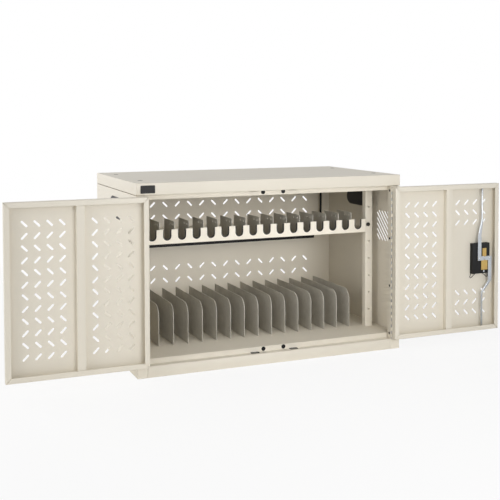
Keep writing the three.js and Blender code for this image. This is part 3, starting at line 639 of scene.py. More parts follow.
@dataclass(frozen=True)
class CabinetSizes:
    """Sizes that several sub-assemblies share."""

    width: float = 1143.0
    depth: float = 655.0
    height: float = 740.0
    sheet: float = SHEET
    fit: float = 0.3
    bend: float = BEND
    band_height: float = 46.0
    post_width: float = 40.0
    post_depth: float = 30.0
    rod_x: float = 85.0
    slot_length: float = 31.0
    slot_width: float = 8.0
    slot_lean: float = 45.0

    @property
    def side(self) -> float:
        """Half the width."""
        return self.width / 2

    @property
    def front(self) -> float:
        """Place of the front face."""
        return -self.depth / 2

    @property
    def back(self) -> float:
        """Place of the back face."""
        return self.depth / 2

    @property
    def wall_top(self) -> float:
        """Top of the walls, just under the band of the top panel."""
        return self.height - self.band_height - self.fit

    @property
    def post_inner(self) -> float:
        """Inner face of the front posts."""
        return self.side - self.post_width

    @property
    def inner_back(self) -> float:
        """Front of what stands against the back panel."""
        return self.back - self.sheet - self.fit

    @property
    def sill(self) -> float:
        """Face of the sill and the header, behind the closed doors."""
        return self.front + self.post_depth + self.fit


SIZES = CabinetSizes()


@dataclass
class Shell:
    """Top, walls, back, plinth and floor of the cabinet, with the cups and vents in its sides."""

    plug_hole: float = 23.0
    plug_inset_x: float = 52.0
    plug_inset_y: float = 135.0
    plug_section: Section = (
        (3.0, -6.0), (1.0, -5.5), (0.0, -1.5), (0.0, -0.6), (0.5, -0.15), (3.0, -0.1), (3.6, -0.7),
        (10.2, -0.9))
    flange: float = 12.0
    lid_seam: float = 6.0
    rod_slot: Triple = (30.0, 16.0, 3.0)
    rod_depth: float = 20.0
    seam: float = 20.0
    band_seam: float = 1.6
    vent: Point = (110.0, 130.0)
    vent_setback: float = 131.0
    vent_height: float = 508.0
    vent_bars: int = 9
    vent_slot: float = 7.0
    vent_rivet_margin: float = 9.0
    band_rivets: tuple[Point, ...] = ((-277.0, 717.0), (292.0, 717.0), (292.0, 668.0))
    rivet_section: Section = (
        (1.0, -3.0), (3.2, -2.7), (4.0, -2.1), (4.0, -1.55), (2.7, -1.5), (2.7, -0.1), (4.4, 0.0), (4.4, 0.4),
        (3.4, 0.9), (1.0, 1.2))
    cup: Point = (174.0, 72.0)
    cup_radius: float = 34.0
    cup_depth: float = 42.0
    cup_rim: float = 8.0
    cup_setback: float = 315.0
    cup_height: float = 620.0
    back_columns: int = 16
    back_pitch: float = 58.5
    back_rows: tuple[float, ...] = (588.0, 530.0, 300.0, 242.0)
    inlet: tuple[float, float, float, float] = (491.7, 528.3, 649.7, 680.3)

    def build(self) -> None:
        """Makes every piece of the shell."""
        self.top()
        for side in Side:
            self.wall(side)
            self.rivets(side)
            self.cup_handle(side)
        self.back()
        for node in ("plinth_front", "floor_pan", "header_rail", "base_pan"):
            rail = Workpiece()
            rail.copy_of(node)
            rail.finish(f"{node}_sheet", PUTTY_POWDER_COAT, Body.CABINET, [node])

    def plug_places(self) -> list[Point]:
        """Places the four plug holes in the top.

        Returns:
            X and Y of their middles.
        """
        x = SIZES.side - self.plug_inset_x
        y = SIZES.back - self.plug_inset_y
        return [(sx * x, sy * y) for sx in (-1, 1) for sy in (-1, 1)]

    def top(self) -> None:
        """Makes the folded top panel with its band, its under flange and its plugs."""
        s = SIZES
        base = s.height - s.band_height
        corners = [(-s.side, s.front), (s.side, s.front), (s.side, s.back), (-s.side, s.back)]
        inward = [(1, 1), (-1, 1), (-1, -1), (1, -1)]

        def place(inset: float, height: float, corner: int) -> Vector:
            """Gives a point of the band's section at one corner."""
            (x, y), (ix, iy) = corners[corner], inward[corner]
            return Vector((x + ix * inset, y + iy * inset, height)) * MM

        panel = Workpiece()
        section = [(self.lid_seam, s.height), (0.0, s.height), (0.0, base), (self.flange, base)]
        panel.picture_frame(section, s.sheet, s.bend, place)
        holes = [circle(x, y, self.plug_hole / 2) for x, y in self.plug_places()]
        seam = self.lid_seam
        lid = rectangle(-s.side + seam, s.side - seam, s.front + seam, s.back - seam)
        panel.plate(Plane.FLAT, lid, holes, s.height - s.sheet, s.height)
        slots = [rounded(x, s.front + self.rod_depth, *self.rod_slot, 3) for x in (-s.rod_x, s.rod_x)]
        under = rectangle(
            -s.side + self.flange, s.side - self.flange, s.front + self.flange, s.front + s.post_depth)
        panel.plate(Plane.FLAT, under, slots, base, base + s.sheet)
        panel.finish("top_panel_sheet", PUTTY_POWDER_COAT, Body.CABINET, ["top_panel"])
        plugs = Workpiece()
        radius = self.plug_hole / 2 - s.fit
        profile = [(radius - inset, rise) for inset, rise in self.plug_section]
        for x, y in self.plug_places():
            plugs.turn(profile, (x, y, s.height), (0, 0, 1), 32)
        plugs.finish("top_hole_plugs", BLACK_PLASTIC, Body.CABINET)

    def vent_slots(self) -> list[Outline]:
        """Draws the diagonal slots that fill the vent's rectangle.

        Returns:
            The slots in Y and Z.
        """
        width, height = self.vent
        y = SIZES.front + self.vent_setback
        step = (width + height) / (self.vent_bars + 1)
        slots = []
        for i in range(1, self.vent_bars + 1):
            reach = i * step
            low, high = max(0.0, reach - height), min(width, reach)
            middle = (low + high) / 2
            slots.append(obround(
                y - width / 2 + middle, self.vent_height + height / 2 - (reach - middle),
                (high - low) * math.sqrt(2), self.vent_slot, SIZES.slot_lean))
        return slots

    def vent_rivet_places(self) -> list[Point]:
        """Places the four rivets round a vent.

        Returns:
            Y and Z of their middles.
        """
        y = SIZES.front + self.vent_setback
        across, up = (half / 2 + self.vent_rivet_margin for half in self.vent)
        return [(y + a * across, self.vent_height + b * up) for a in (-1, 1) for b in (-1, 1)]

    def wall(self, side: Side) -> None:
        """Makes one side wall with the front post that is folded from it.

        Args:
            side: Side that the wall is on.
        """
        s = SIZES
        sign = side.value
        wall = Workpiece()
        holes = self.vent_slots()
        holes.append(rounded(
            s.front + self.cup_setback, self.cup_height, self.cup[0] + 2 * s.fit, self.cup[1] + 2 * s.fit,
            self.cup_radius + s.fit))
        near, far = sorted((sign * (s.side - s.sheet), sign * s.side))
        top = s.wall_top - self.band_seam
        sheet = rectangle(s.front + self.seam, s.back, 0.0, top)
        wall.plate(Plane.SIDEWAYS, sheet, holes, near, far)
        path = [(sign * s.side, s.front + self.seam), (sign * s.side, s.front),
                (sign * s.post_inner, s.front), (sign * s.post_inner, s.front + s.post_depth)]
        wall.fold(Plane.FLAT, path if sign < 0 else path[::-1], 0.0, top)
        wall.finish(
            f"{side.word}_side_sheet", PUTTY_POWDER_COAT, Body.CABINET, [f"{side.word}_side_panel"])

    def rivets(self, side: Side) -> None:
        """Makes the painted rivets round one vent, on the band above it and at the wall's back edge.

        Args:
            side: Side that the vent is on.
        """
        rivets = Workpiece()
        for y, z in [*self.vent_rivet_places(), *self.band_rivets]:
            rivets.turn(self.rivet_section, (side.value * SIZES.side, y, z), (side.value, 0, 0), 20)
        rivets.finish(f"{side.word}_rivets", PUTTY_POWDER_COAT, Body.CABINET)

    def cup_handle(self, side: Side) -> None:
        """Makes one moulded cup handle, with a rolled rim and a rounded floor.

        Args:
            side: Side that the cup is on.
        """
        s = SIZES
        y = s.front + self.cup_setback
        length, height = self.cup
        floor, rim = -self.cup_depth, self.cup_rim
        # Growth beyond the cup's mouth and place outward of the wall's face: up the outside from the floor,
        # round the rim, and down the inside to the floor
        outside = [(-14.0, floor), (-7.0, floor + 1.0), (-1.5, floor + 6.0), (0.0, 0.0), (0.0, s.fit)]
        lip = [
            (rim, s.fit), (rim, 1.2), (rim - 1.2, 2.1), (rim - 3.0, 2.3), (0.6, 2.3), (-1.2, 1.8),
            (-2.2, 0.4)]
        inside = [
            (-2.4, -4.0), (-3.0, floor + 12.0), (-5.0, floor + 6.0), (-10.0, floor + 2.6),
            (-16.0, floor + 2.0)]
        cup = Workpiece()
        rings = []
        for grow, out in [*outside, *lip, *inside]:
            ring = rounded(
                y, self.cup_height, length + 2 * grow, height + 2 * grow, self.cup_radius + grow, 8)
            rings.append([Plane.SIDEWAYS.at(a, b, side.value * (s.side + out)) for a, b in ring])
        cup.loft(rings)
        cup.finish(
            f"{side.word}_cup_moulding", BLACK_PLASTIC, Body.CABINET, [f"{side.word}_cup_handle"],
            crease=50.0)

    def back(self) -> None:
        """Makes the back panel with its rows of leaning slots."""
        s = SIZES
        holes = []
        for z in self.back_rows:
            for i in range(self.back_columns):
                x = (i - (self.back_columns - 1) / 2) * self.back_pitch
                lean = -s.slot_lean if i % 2 else s.slot_lean
                holes.append(obround(x, z, s.slot_length, s.slot_width, lean))
        holes.append(rectangle(*self.inlet))
        half = s.side - s.sheet - s.fit
        sheet = Workpiece()
        sheet.plate(Plane.FRONTAL, rectangle(-half, half, 0.0, s.wall_top), holes, s.back - s.sheet, s.back)
        sheet.finish("back_sheet", PUTTY_POWDER_COAT, Body.CABINET, ["back_panel"])


@dataclass(frozen=True)
class DividerShape:
    """A divider's edges, its round top front corner and the row of holes under its top edge."""

    front: float
    back: float
    base: float
    top: float
    radius: float
    holes: tuple[float, ...] = ()
    hole_drop: float = 14.0
    hole_radius: float = 4.0

    def outline(self) -> Outline:
        """Draws the plate's edge.

        Returns:
            The edge in Y and Z, anticlockwise.
        """
        steps = 10
        turns = [math.pi / 2 * (1 + step / steps) for step in range(steps + 1)]
        corner = [(self.front + self.radius * (1 + math.cos(t)), self.top - self.radius * (1 - math.sin(t)))
                  for t in turns]
        return [(self.front, self.base), (self.back, self.base), (self.back, self.top), *corner]

    def hole_outlines(self) -> list[Outline]:
        """Returns the holes, each at its distance behind the front edge."""
        z = self.top - self.hole_drop
        return [circle(self.front + inset, z, self.hole_radius) for inset in self.holes]


CHARGER_DIVIDER = DividerShape(
    front=-155.5, back=-20.5, base=481.8, top=568.0, radius=8.0, holes=(25.0, 60.0))
LAPTOP_DIVIDER = DividerShape(front=-137.5, back=222.5, base=64.3, top=229.3, radius=45.0)


@dataclass
class Rack:
    """Rack posts, cord shelf with its comb, and both rows of dividers."""

    front: float = -161.5
    post: Point = (500.0, 534.0)
    post_depth: float = 28.0
    post_seam: float = 6.0
    post_span: Point = (64.3, 738.2)
    post_hole: float = 7.0
    post_hole_pitch: float = 75.0
    shelf_height: float = 480.0
    shelf_half: float = 499.7
    shelf_side: Point = (200.0, 20.0)
    shelf_seam: float = 8.0
    comb_top: float = 538.0
    bays: int = 16
    pitch: float = 61.7
    notch: Point = (34.7, 44.0)
    liner: float = 3.0
    cord_slot: tuple[float, float, float, float] = (-440.0, 440.0, 235.7, 295.7)
    divider: float = 2.0
    knob: Triple = (509.0, -161.5, 514.3)
    knob_section: Section = (
        (3.0, -4.0), (3.0, 0.0), (6.0, 0.0), (6.0, 3.0), (7.5, 4.0), (8.0, 5.5), (8.0, 9.0), (7.2, 10.5),
        (5.0, 11.2), (1.0, 11.4))

    def build(self) -> None:
        """Makes every piece of the rack."""
        for side in Side:
            self.rack_post(side)
        self.shelf()
        self.notch_trim()
        for i in range(1, self.bays):
            x = (i - self.bays / 2) * self.pitch
            self.divider_plate(f"charger_divider_{i:02d}", x, CHARGER_DIVIDER)
            self.divider_plate(f"laptop_divider_{i:02d}", x, LAPTOP_DIVIDER)
        self.post_knob()

    def rack_post(self, side: Side) -> None:
        """Makes one folded post with its row of holes.

        Args:
            side: Side that the post is on.
        """
        sign = side.value
        base, top = self.post_span
        inner, outer = self.post
        deep = self.front + self.post_depth
        post = Workpiece()
        corners = [
            [(inner, deep), (inner, self.front), (inner + self.post_seam, self.front)],
            [(outer - self.post_seam, self.front), (outer, self.front), (outer, deep)]]
        for path in corners:
            placed = [(sign * x, y) for x, y in path]
            post.fold(Plane.FLAT, placed if sign > 0 else placed[::-1], base, top)
        holes = []
        height = base + self.post_hole_pitch
        while height < top - self.post_hole_pitch / 2:
            holes.append(circle(sign * (inner + outer) / 2, height, self.post_hole / 2, 16))
            height += self.post_hole_pitch
        low, high = sorted((sign * (inner + self.post_seam), sign * (outer - self.post_seam)))
        edge = rectangle(low, high, base, top)
        post.plate(Plane.FRONTAL, edge, holes, self.front, self.front + SIZES.sheet)
        post.finish(f"{side.word}_post_sheet", PUTTY_POWDER_COAT, Body.CABINET, [f"{side.word}_rack_post"])

    def comb(self, half: float, base: float, top: float, width: float, floor: float) -> Outline:
        """Draws a toothed strip whose notches have round bottoms.

        Args:
            half: Half the length of the strip.
            base: Lower edge.
            top: Upper edge.
            width: Width of a notch.
            floor: Lowest point of a notch.

        Returns:
            The outline in X and Z, anticlockwise.
        """
        points: Outline = [(-half, base), (half, base), (half, top)]
        for i in reversed(range(self.bays)):
            points.extend(self.notch_line(i, top, width, floor))
        return [*points, (-half, top)]

    def notch_line(self, bay: int, top: float, width: float, floor: float) -> Outline:
        """Draws one notch with a round bottom.

        Args:
            bay: Number of the bay, from the left.
            top: Upper edge.
            width: Width of the notch.
            floor: Lowest point of the notch.

        Returns:
            The line in X and Z, from the notch's right top corner to its left one.
        """
        x = (bay - (self.bays - 1) / 2) * self.pitch
        radius = width / 2
        steps = 12
        turns = [-math.pi * step / steps for step in range(steps + 1)]
        bottom = [(x + radius * math.cos(t), floor + radius + radius * math.sin(t)) for t in turns]
        return [(x + radius, top), *bottom, (x - radius, top)]

    def shelf(self) -> None:
        """Makes the cord shelf, folded up at the front into the comb."""
        s = SIZES
        half, base, front = self.shelf_half, self.shelf_height, self.front
        shelf = Workpiece()
        sheet = rectangle(-half, half, front + self.shelf_seam, s.inner_back)
        shelf.plate(Plane.FLAT, sheet, [rectangle(*self.cord_slot)], base, base + s.sheet)
        path = [(front, base + self.shelf_seam), (front, base), (front + self.shelf_seam, base)]
        shelf.fold(Plane.SIDEWAYS, path, -half, half)
        width, depth = self.notch
        teeth = self.comb(half, base + self.shelf_seam, self.comb_top, width, self.comb_top - depth)
        shelf.plate(Plane.FRONTAL, teeth, [], front, front + s.sheet)
        reach, rise = self.shelf_side
        for sign in (-1, 1):
            near, far = sorted((sign * (half - s.sheet), sign * half))
            lip = rectangle(front + s.sheet, front + reach, base + s.sheet, base + rise)
            shelf.plate(Plane.SIDEWAYS, lip, [], near, far)
        shelf.finish("cord_shelf_sheet", PUTTY_POWDER_COAT, Body.CABINET, ["cord_shelf"])

    def notch_trim(self) -> None:
        """Makes the rubber strip behind the comb, with a round bead along each notch."""
        s = SIZES
        near = self.front + s.sheet + s.fit
        top = self.comb_top - s.sheet
        width = self.notch[0] - 2 * self.liner
        floor = self.comb_top - self.notch[1] + self.liner
        trim = Workpiece()
        inset = s.sheet + s.fit
        strip = self.comb(self.shelf_half - inset, self.shelf_height + inset, top, width, floor)
        trim.plate(Plane.FRONTAL, strip, [], near, near + self.liner)
        for bay in range(self.bays):
            line = self.notch_line(bay, top, width, floor)
            middle = near + self.liner / 2
            trim.tube([Vector((x, middle, z)) for x, z in line], self.liner / 2, 10)
        trim.finish("notch_trim", BLACK_RUBBER, Body.CABINET, ["notch_liner"])

    def divider_plate(self, node: str, x: float, shape: DividerShape) -> None:
        """Makes one divider.

        Args:
            node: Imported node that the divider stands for.
            x: Middle of the plate.
            shape: Edges, corner and holes of the plate.
        """
        plate = Workpiece()
        half = self.divider / 2
        plate.plate(Plane.SIDEWAYS, shape.outline(), shape.hole_outlines(), x - half, x + half)
        plate.finish(f"{node}_plate", GREY_POWDER_COAT, Body.CABINET, [node])

    def post_knob(self) -> None:
        """Makes the round knob screwed to the right post."""
        knob = Workpiece()
        knob.turn(self.knob_section, self.knob, (0, -1, 0), 28)
        knob.finish("right_post_knob", BLACK_PLASTIC, Body.CABINET)


@dataclass
class Power:
    """Power strip with its outlets and switch, the inlet, and the lead between them."""

    strip_front: float = 285.7
    strip_middle: float = 422.5
    strip_half: float = 470.0
    outlets: int = 16
    outlet_pitch: float = 54.0
    outlet: Triple = (27.2, 27.2, 1.5)
    outlet_face: Point = (1.5, 4.5)
    blade: Triple = (2.2, 8.0, 0.4)
    blade_place: Point = (6.35, 3.0)
    earth_radius: float = 2.6
    earth_drop: float = 6.5
    inlet: Point = (510.0, 665.0)
    inlet_pin: Point = (2.0, 4.0)
    inlet_pin_depth: Point = (17.0, 4.0)
    inlet_pins_at: tuple[Point, ...] = ((-7.0, -2.0), (0.0, 2.0), (7.0, -2.0))
    lead_radius: float = 5.0
    lead_bend: float = 40.0
    lead_tail: float = 4.0
    lead_straight: float = 30.0
    lead_top: Triple = (510.0, 295.7, 639.7)
    strip_y: float = 305.7

    def build(self) -> None:
        """Makes every piece of the power supply."""
        for node, edge, body in (
            ("power_strip", 1.2, Body.CABINET),
            ("power_switch", 0.8, Body.SWITCH),
            ("inlet_box", 1.0, Body.CABINET),
        ):
            moulding = Workpiece()
            moulding.copy_of(node, edge, 3)
            moulding.finish(f"{node}_moulding", BLACK_PLASTIC, body, [node])
        self.outlet_faces()
        self.socket_pins()
        self.lead()

    def outlet_faces(self) -> None:
        """Makes the slotted face in each outlet."""
        faces = Workpiece()
        first = -self.strip_half + self.outlet_pitch / 2 + SIZES.fit
        across, rise = self.blade_place
        near, far = (self.strip_front + inset for inset in self.outlet_face)
        z = self.strip_middle
        for i in range(self.outlets):
            x = first + i * self.outlet_pitch
            holes = [rounded(x + side * across, z + rise, *self.blade, 2) for side in (-1, 1)]
            holes.append(circle(x, z - self.earth_drop, self.earth_radius, 16))
            faces.plate(Plane.FRONTAL, rounded(x, z, *self.outlet, 3), holes, near, far)
        faces.finish("outlet_faces", BLACK_PLASTIC, Body.CABINET)

    def socket_pins(self) -> None:
        """Makes the three flat pins in the inlet's socket."""
        near, far = (SIZES.back - depth for depth in self.inlet_pin_depth)
        width, height = self.inlet_pin
        pins = Workpiece()
        for dx, dz in self.inlet_pins_at:
            x, z = self.inlet[0] + dx, self.inlet[1] + dz
            pins.block((x - width / 2, near, z - height / 2), (x + width / 2, far, z + height / 2))
        pins.finish("inlet_pins", ZINC_PLATE, Body.CABINET)

    def lead(self) -> None:
        """Makes the lead that is held between the inlet and the end of the strip."""
        start = Vector(self.lead_top)
        end = self.strip_half + SIZES.fit
        bend_end = end + self.lead_tail
        bend_top = self.strip_middle + self.lead_bend
        points = [start, start - Vector((0, 0, self.lead_straight)),
                  Vector((bend_end + self.lead_bend, self.strip_y, bend_top + self.lead_straight))]
        steps = 6
        for step in range(steps + 1):
            turn = math.pi / 2 * step / steps
            points.append(Vector((
                bend_end + self.lead_bend * math.cos(turn), self.strip_y,
                bend_top - self.lead_bend * math.sin(turn))))
        points.append(Vector((end, self.strip_y, self.strip_middle)))
        lead = Workpiece()
        lead.tube(eased(points), self.lead_radius, 16)
        lead.finish("power_lead_sheath", BLACK_RUBBER, Body.CABINET, ["power_lead"])


@dataclass
class Door:
    """One tray door with its slots, its stiffener and its half of the continuous hinge."""

    side: Side
    has_lock: bool
    bottom: float = 46.0
    top: float = 690.0
    axis_x: float = 529.75
    axis_y: float = -330.5
    outer: float = -333.5
    span: Point = (1.75, 527.75)
    tray: float = 28.0
    lip: float = 20.0
    seam: float = 6.0
    lip_seam: float = 2.7
    mitre_gap: float = 1.4
    stiffener: Point = (31.0, 22.0)
    stiffener_shift: float = 8.3
    rod_hole: Triple = (444.75, 20.0, 5.0)
    rows: int = 12
    row_span: float = 482.0
    first_row: float = 80.5
    columns: int = 4
    column_pitch: float = 45.0
    half_centre: float = 126.8
    slot_shift: float = 5.7
    blank_rows: tuple[int, int] = (3, 8)
    cut_out: tuple[float, float, float, float] = (395.7, 486.3, 295.2, 428.8)
    knuckles: int = 24
    knuckle_radius: float = 2.8
    knuckle_ease: float = 0.5
    knuckle_gap: float = 13.0
    pin_radius: float = 1.2
    leaf: float = 1.0
    leaf_depth: float = 24.0
    leaf_ease: float = 0.2
    rivets: tuple[float, ...] = (673.0, 470.0, 268.0, 65.0)
    rivet_setback: float = 14.0
    rivet_section: Section = ((5.5, 0.0), (5.4, 0.3), (4.2, 0.75), (2.0, 0.95), (0.5, 1.0))

    @property
    def body(self) -> Body:
        """Body that the door's pieces ride on."""
        return Body.LEFT_DOOR if self.side is Side.LEFT else Body.RIGHT_DOOR

    def x(self, along: float) -> float:
        """X of a place measured along the door from its hinge axis."""
        return self.side.value * (self.axis_x + along)

    def y(self, deep: float) -> float:
        """Y of a depth measured from the door's outer face into the tray."""
        return self.outer - deep

    def build(self) -> None:
        """Makes every piece of the door and its hinge."""
        self.sheet()
        self.stiffening_channel()
        self.hinge()

    def slots(self) -> list[Outline]:
        """Draws the leaning slots, row by row, without the plain zone at a lock.

        Returns:
            The slots in X and Z.
        """
        middle = sum(self.span) / 2 + self.side.value * self.slot_shift
        first, last = self.blank_rows
        row_pitch = self.row_span / (self.rows - 1)
        columns = [(i - (self.columns - 1) / 2) * self.column_pitch for i in range(self.columns)]
        slots = []
        for row in range(self.rows):
            z = self.top - self.first_row - row * row_pitch
            lean = (-SIZES.slot_lean if row % 2 else SIZES.slot_lean) * self.side.value
            for half in (-1, 1):
                if self.has_lock and half > 0 and first <= row <= last:
                    continue
                for column in columns:
                    x = self.x(middle + half * self.half_centre + column)
                    slots.append(obround(x, z, SIZES.slot_length, SIZES.slot_width, lean))
        return slots

    def sheet(self) -> None:
        """Makes the slotted face and the folded tray round it."""
        start, end = self.span
        spots = [(start, self.bottom), (end, self.bottom), (end, self.top), (start, self.top)]
        inward = [(1, 1), (-1, 1), (-1, -1), (1, -1)]

        def place(inset: float, deep: float, corner: int) -> Vector:
            """Gives a point of the tray's section at one corner."""
            (along, z), (ia, iz) = spots[corner], inward[corner]
            return Plane.FRONTAL.at(self.x(along + ia * inset), z + iz * inset, self.y(deep))

        holes = self.slots()
        if self.has_lock:
            a0, a1, z0, z1 = self.cut_out
            holes.append(rectangle(*sorted((self.x(a0), self.x(a1))), z0, z1))
        door = Workpiece()
        lip = [(self.lip, self.tray), (0.0, self.tray), (0.0, self.tray - self.lip_seam)]
        door.picture_frame(lip, SIZES.sheet, SIZES.bend, place, self.mitre_gap)
        door.picture_frame([(0.0, self.seam), (0.0, 0.0), (self.seam, 0.0)], SIZES.sheet, SIZES.bend, place)
        self.flanges(door)
        low, high = sorted((self.x(start + self.seam), self.x(end - self.seam)))
        face = rectangle(low, high, self.bottom + self.seam, self.top - self.seam)
        door.plate(Plane.FRONTAL, face, holes, self.y(SIZES.sheet), self.y(0.0))
        for i in range(1, self.knuckles, 2):
            self.knuckle(door, i)
            base, top = self.knuckle_span(i)
            low, high = sorted((self.x(start - self.leaf / 2), self.x(start + self.leaf / 2)))
            door.block((low, self.y(SIZES.bend), base), (high, self.axis_y, top), self.leaf_ease, 1)
        door.finish(f"{self.side.word}_door_sheet", PUTTY_POWDER_COAT, self.body, [f"{self.side.word}_door"])

    def flanges(self, door: Workpiece) -> None:
        """Adds the flat walls of the tray, with a hole for each rod where there is a lock.

        Args:
            door: Mesh that takes the walls.
        """
        start, end = self.span
        sheet = SIZES.sheet
        shallow, deep = self.y(self.seam), self.y(self.tray - self.lip_seam)
        low, high = sorted((self.x(start), self.x(end)))
        along, rod_deep, radius = self.rod_hole
        holes = [circle(self.x(along), self.y(rod_deep), radius)] if self.has_lock else []
        for base in (self.bottom, self.top - sheet):
            door.plate(Plane.FLAT, rectangle(low, high, deep, shallow), holes, base, base + sheet)
        for near, far in ((start, start + sheet), (end - sheet, end)):
            wall = rectangle(deep, shallow, self.bottom + sheet, self.top - sheet)
            door.plate(Plane.SIDEWAYS, wall, [], *sorted((self.x(near), self.x(far))))

    def stiffening_channel(self) -> None:
        """Makes the folded channel up the tray, a little to the right of its middle."""
        width, height = self.stiffener
        middle = sum(self.span) / 2 + self.side.value * self.stiffener_shift
        foot = SIZES.sheet + SIZES.fit
        edges = [(middle - width / 2, foot), (middle - width / 2, foot + height),
                 (middle + width / 2, foot + height), (middle + width / 2, foot)]
        path = [(self.x(along), self.y(deep)) for along, deep in edges]
        channel = Workpiece()
        channel.fold(
            Plane.FLAT, path if self.side is Side.RIGHT else path[::-1], self.bottom + foot, self.top - foot)
        word = self.side.word
        channel.finish(f"{word}_door_channel", PUTTY_POWDER_COAT, self.body, [f"{word}_door_stiffener"])

    def knuckle_span(self, i: int) -> Point:
        """Gives the height span of one knuckle.

        Args:
            i: Number of the knuckle, from the bottom.

        Returns:
            Its lower and upper end.
        """
        pitch = (self.top - self.bottom) / self.knuckles
        base = self.bottom + i * pitch
        return base + self.knuckle_gap / 2, base + pitch - self.knuckle_gap / 2

    def knuckle(self, work: Workpiece, i: int) -> None:
        """Adds one rolled knuckle to a mesh.

        Args:
            work: Mesh that takes the knuckle.
            i: Number of the knuckle, from the bottom.
        """
        base, top = self.knuckle_span(i)
        length = top - base
        radius, ease = self.knuckle_radius, self.knuckle_ease
        profile = [(radius - ease, 0.0), (radius, ease), (radius, length - ease), (radius - ease, length)]
        work.turn(profile, (self.x(0.0), self.axis_y, base), (0, 0, 1), 16)

    def hinge(self) -> None:
        """Makes the cabinet's leaf with its knuckles, the pin that shows between them, and the rivets."""
        s = SIZES
        sign = self.side.value
        near = s.post_inner - s.fit
        low, high = sorted((sign * (near - self.leaf), sign * near))
        leaf = Workpiece()
        strip = rectangle(s.front + 2 * s.fit, s.front + self.leaf_depth, self.bottom, self.top)
        leaf.plate(Plane.SIDEWAYS, strip, [], low, high)
        pins = Workpiece()
        reach = self.knuckle_gap - s.fit
        for i in range(0, self.knuckles, 2):
            self.knuckle(leaf, i)
            base, top = self.knuckle_span(i)
            leaf.block((low, self.axis_y, base), (high, s.front + s.sheet, top), self.leaf_ease, 1)
            foot = max(base - reach, self.bottom)
            pins.turn(
                [(self.pin_radius, 0.0), (self.pin_radius, top + reach - foot)],
                (self.x(0.0), self.axis_y, foot), (0, 0, 1), 12)
        word = self.side.word
        leaf.finish(f"{word}_hinge_leaf", PUTTY_POWDER_COAT, Body.CABINET, [f"{word}_hinge"])
        pins.finish(f"{word}_hinge_pin", ZINC_PLATE, Body.CABINET)
        rivets = Workpiece()
        for z in self.rivets:
            place = (sign * (near - self.leaf), s.front + self.rivet_setback, z)
            rivets.turn(self.rivet_section, place, (-sign, 0, 0), 24)
        rivets.finish(f"{word}_hinge_rivets", BLACK_PLASTIC, Body.CABINET)


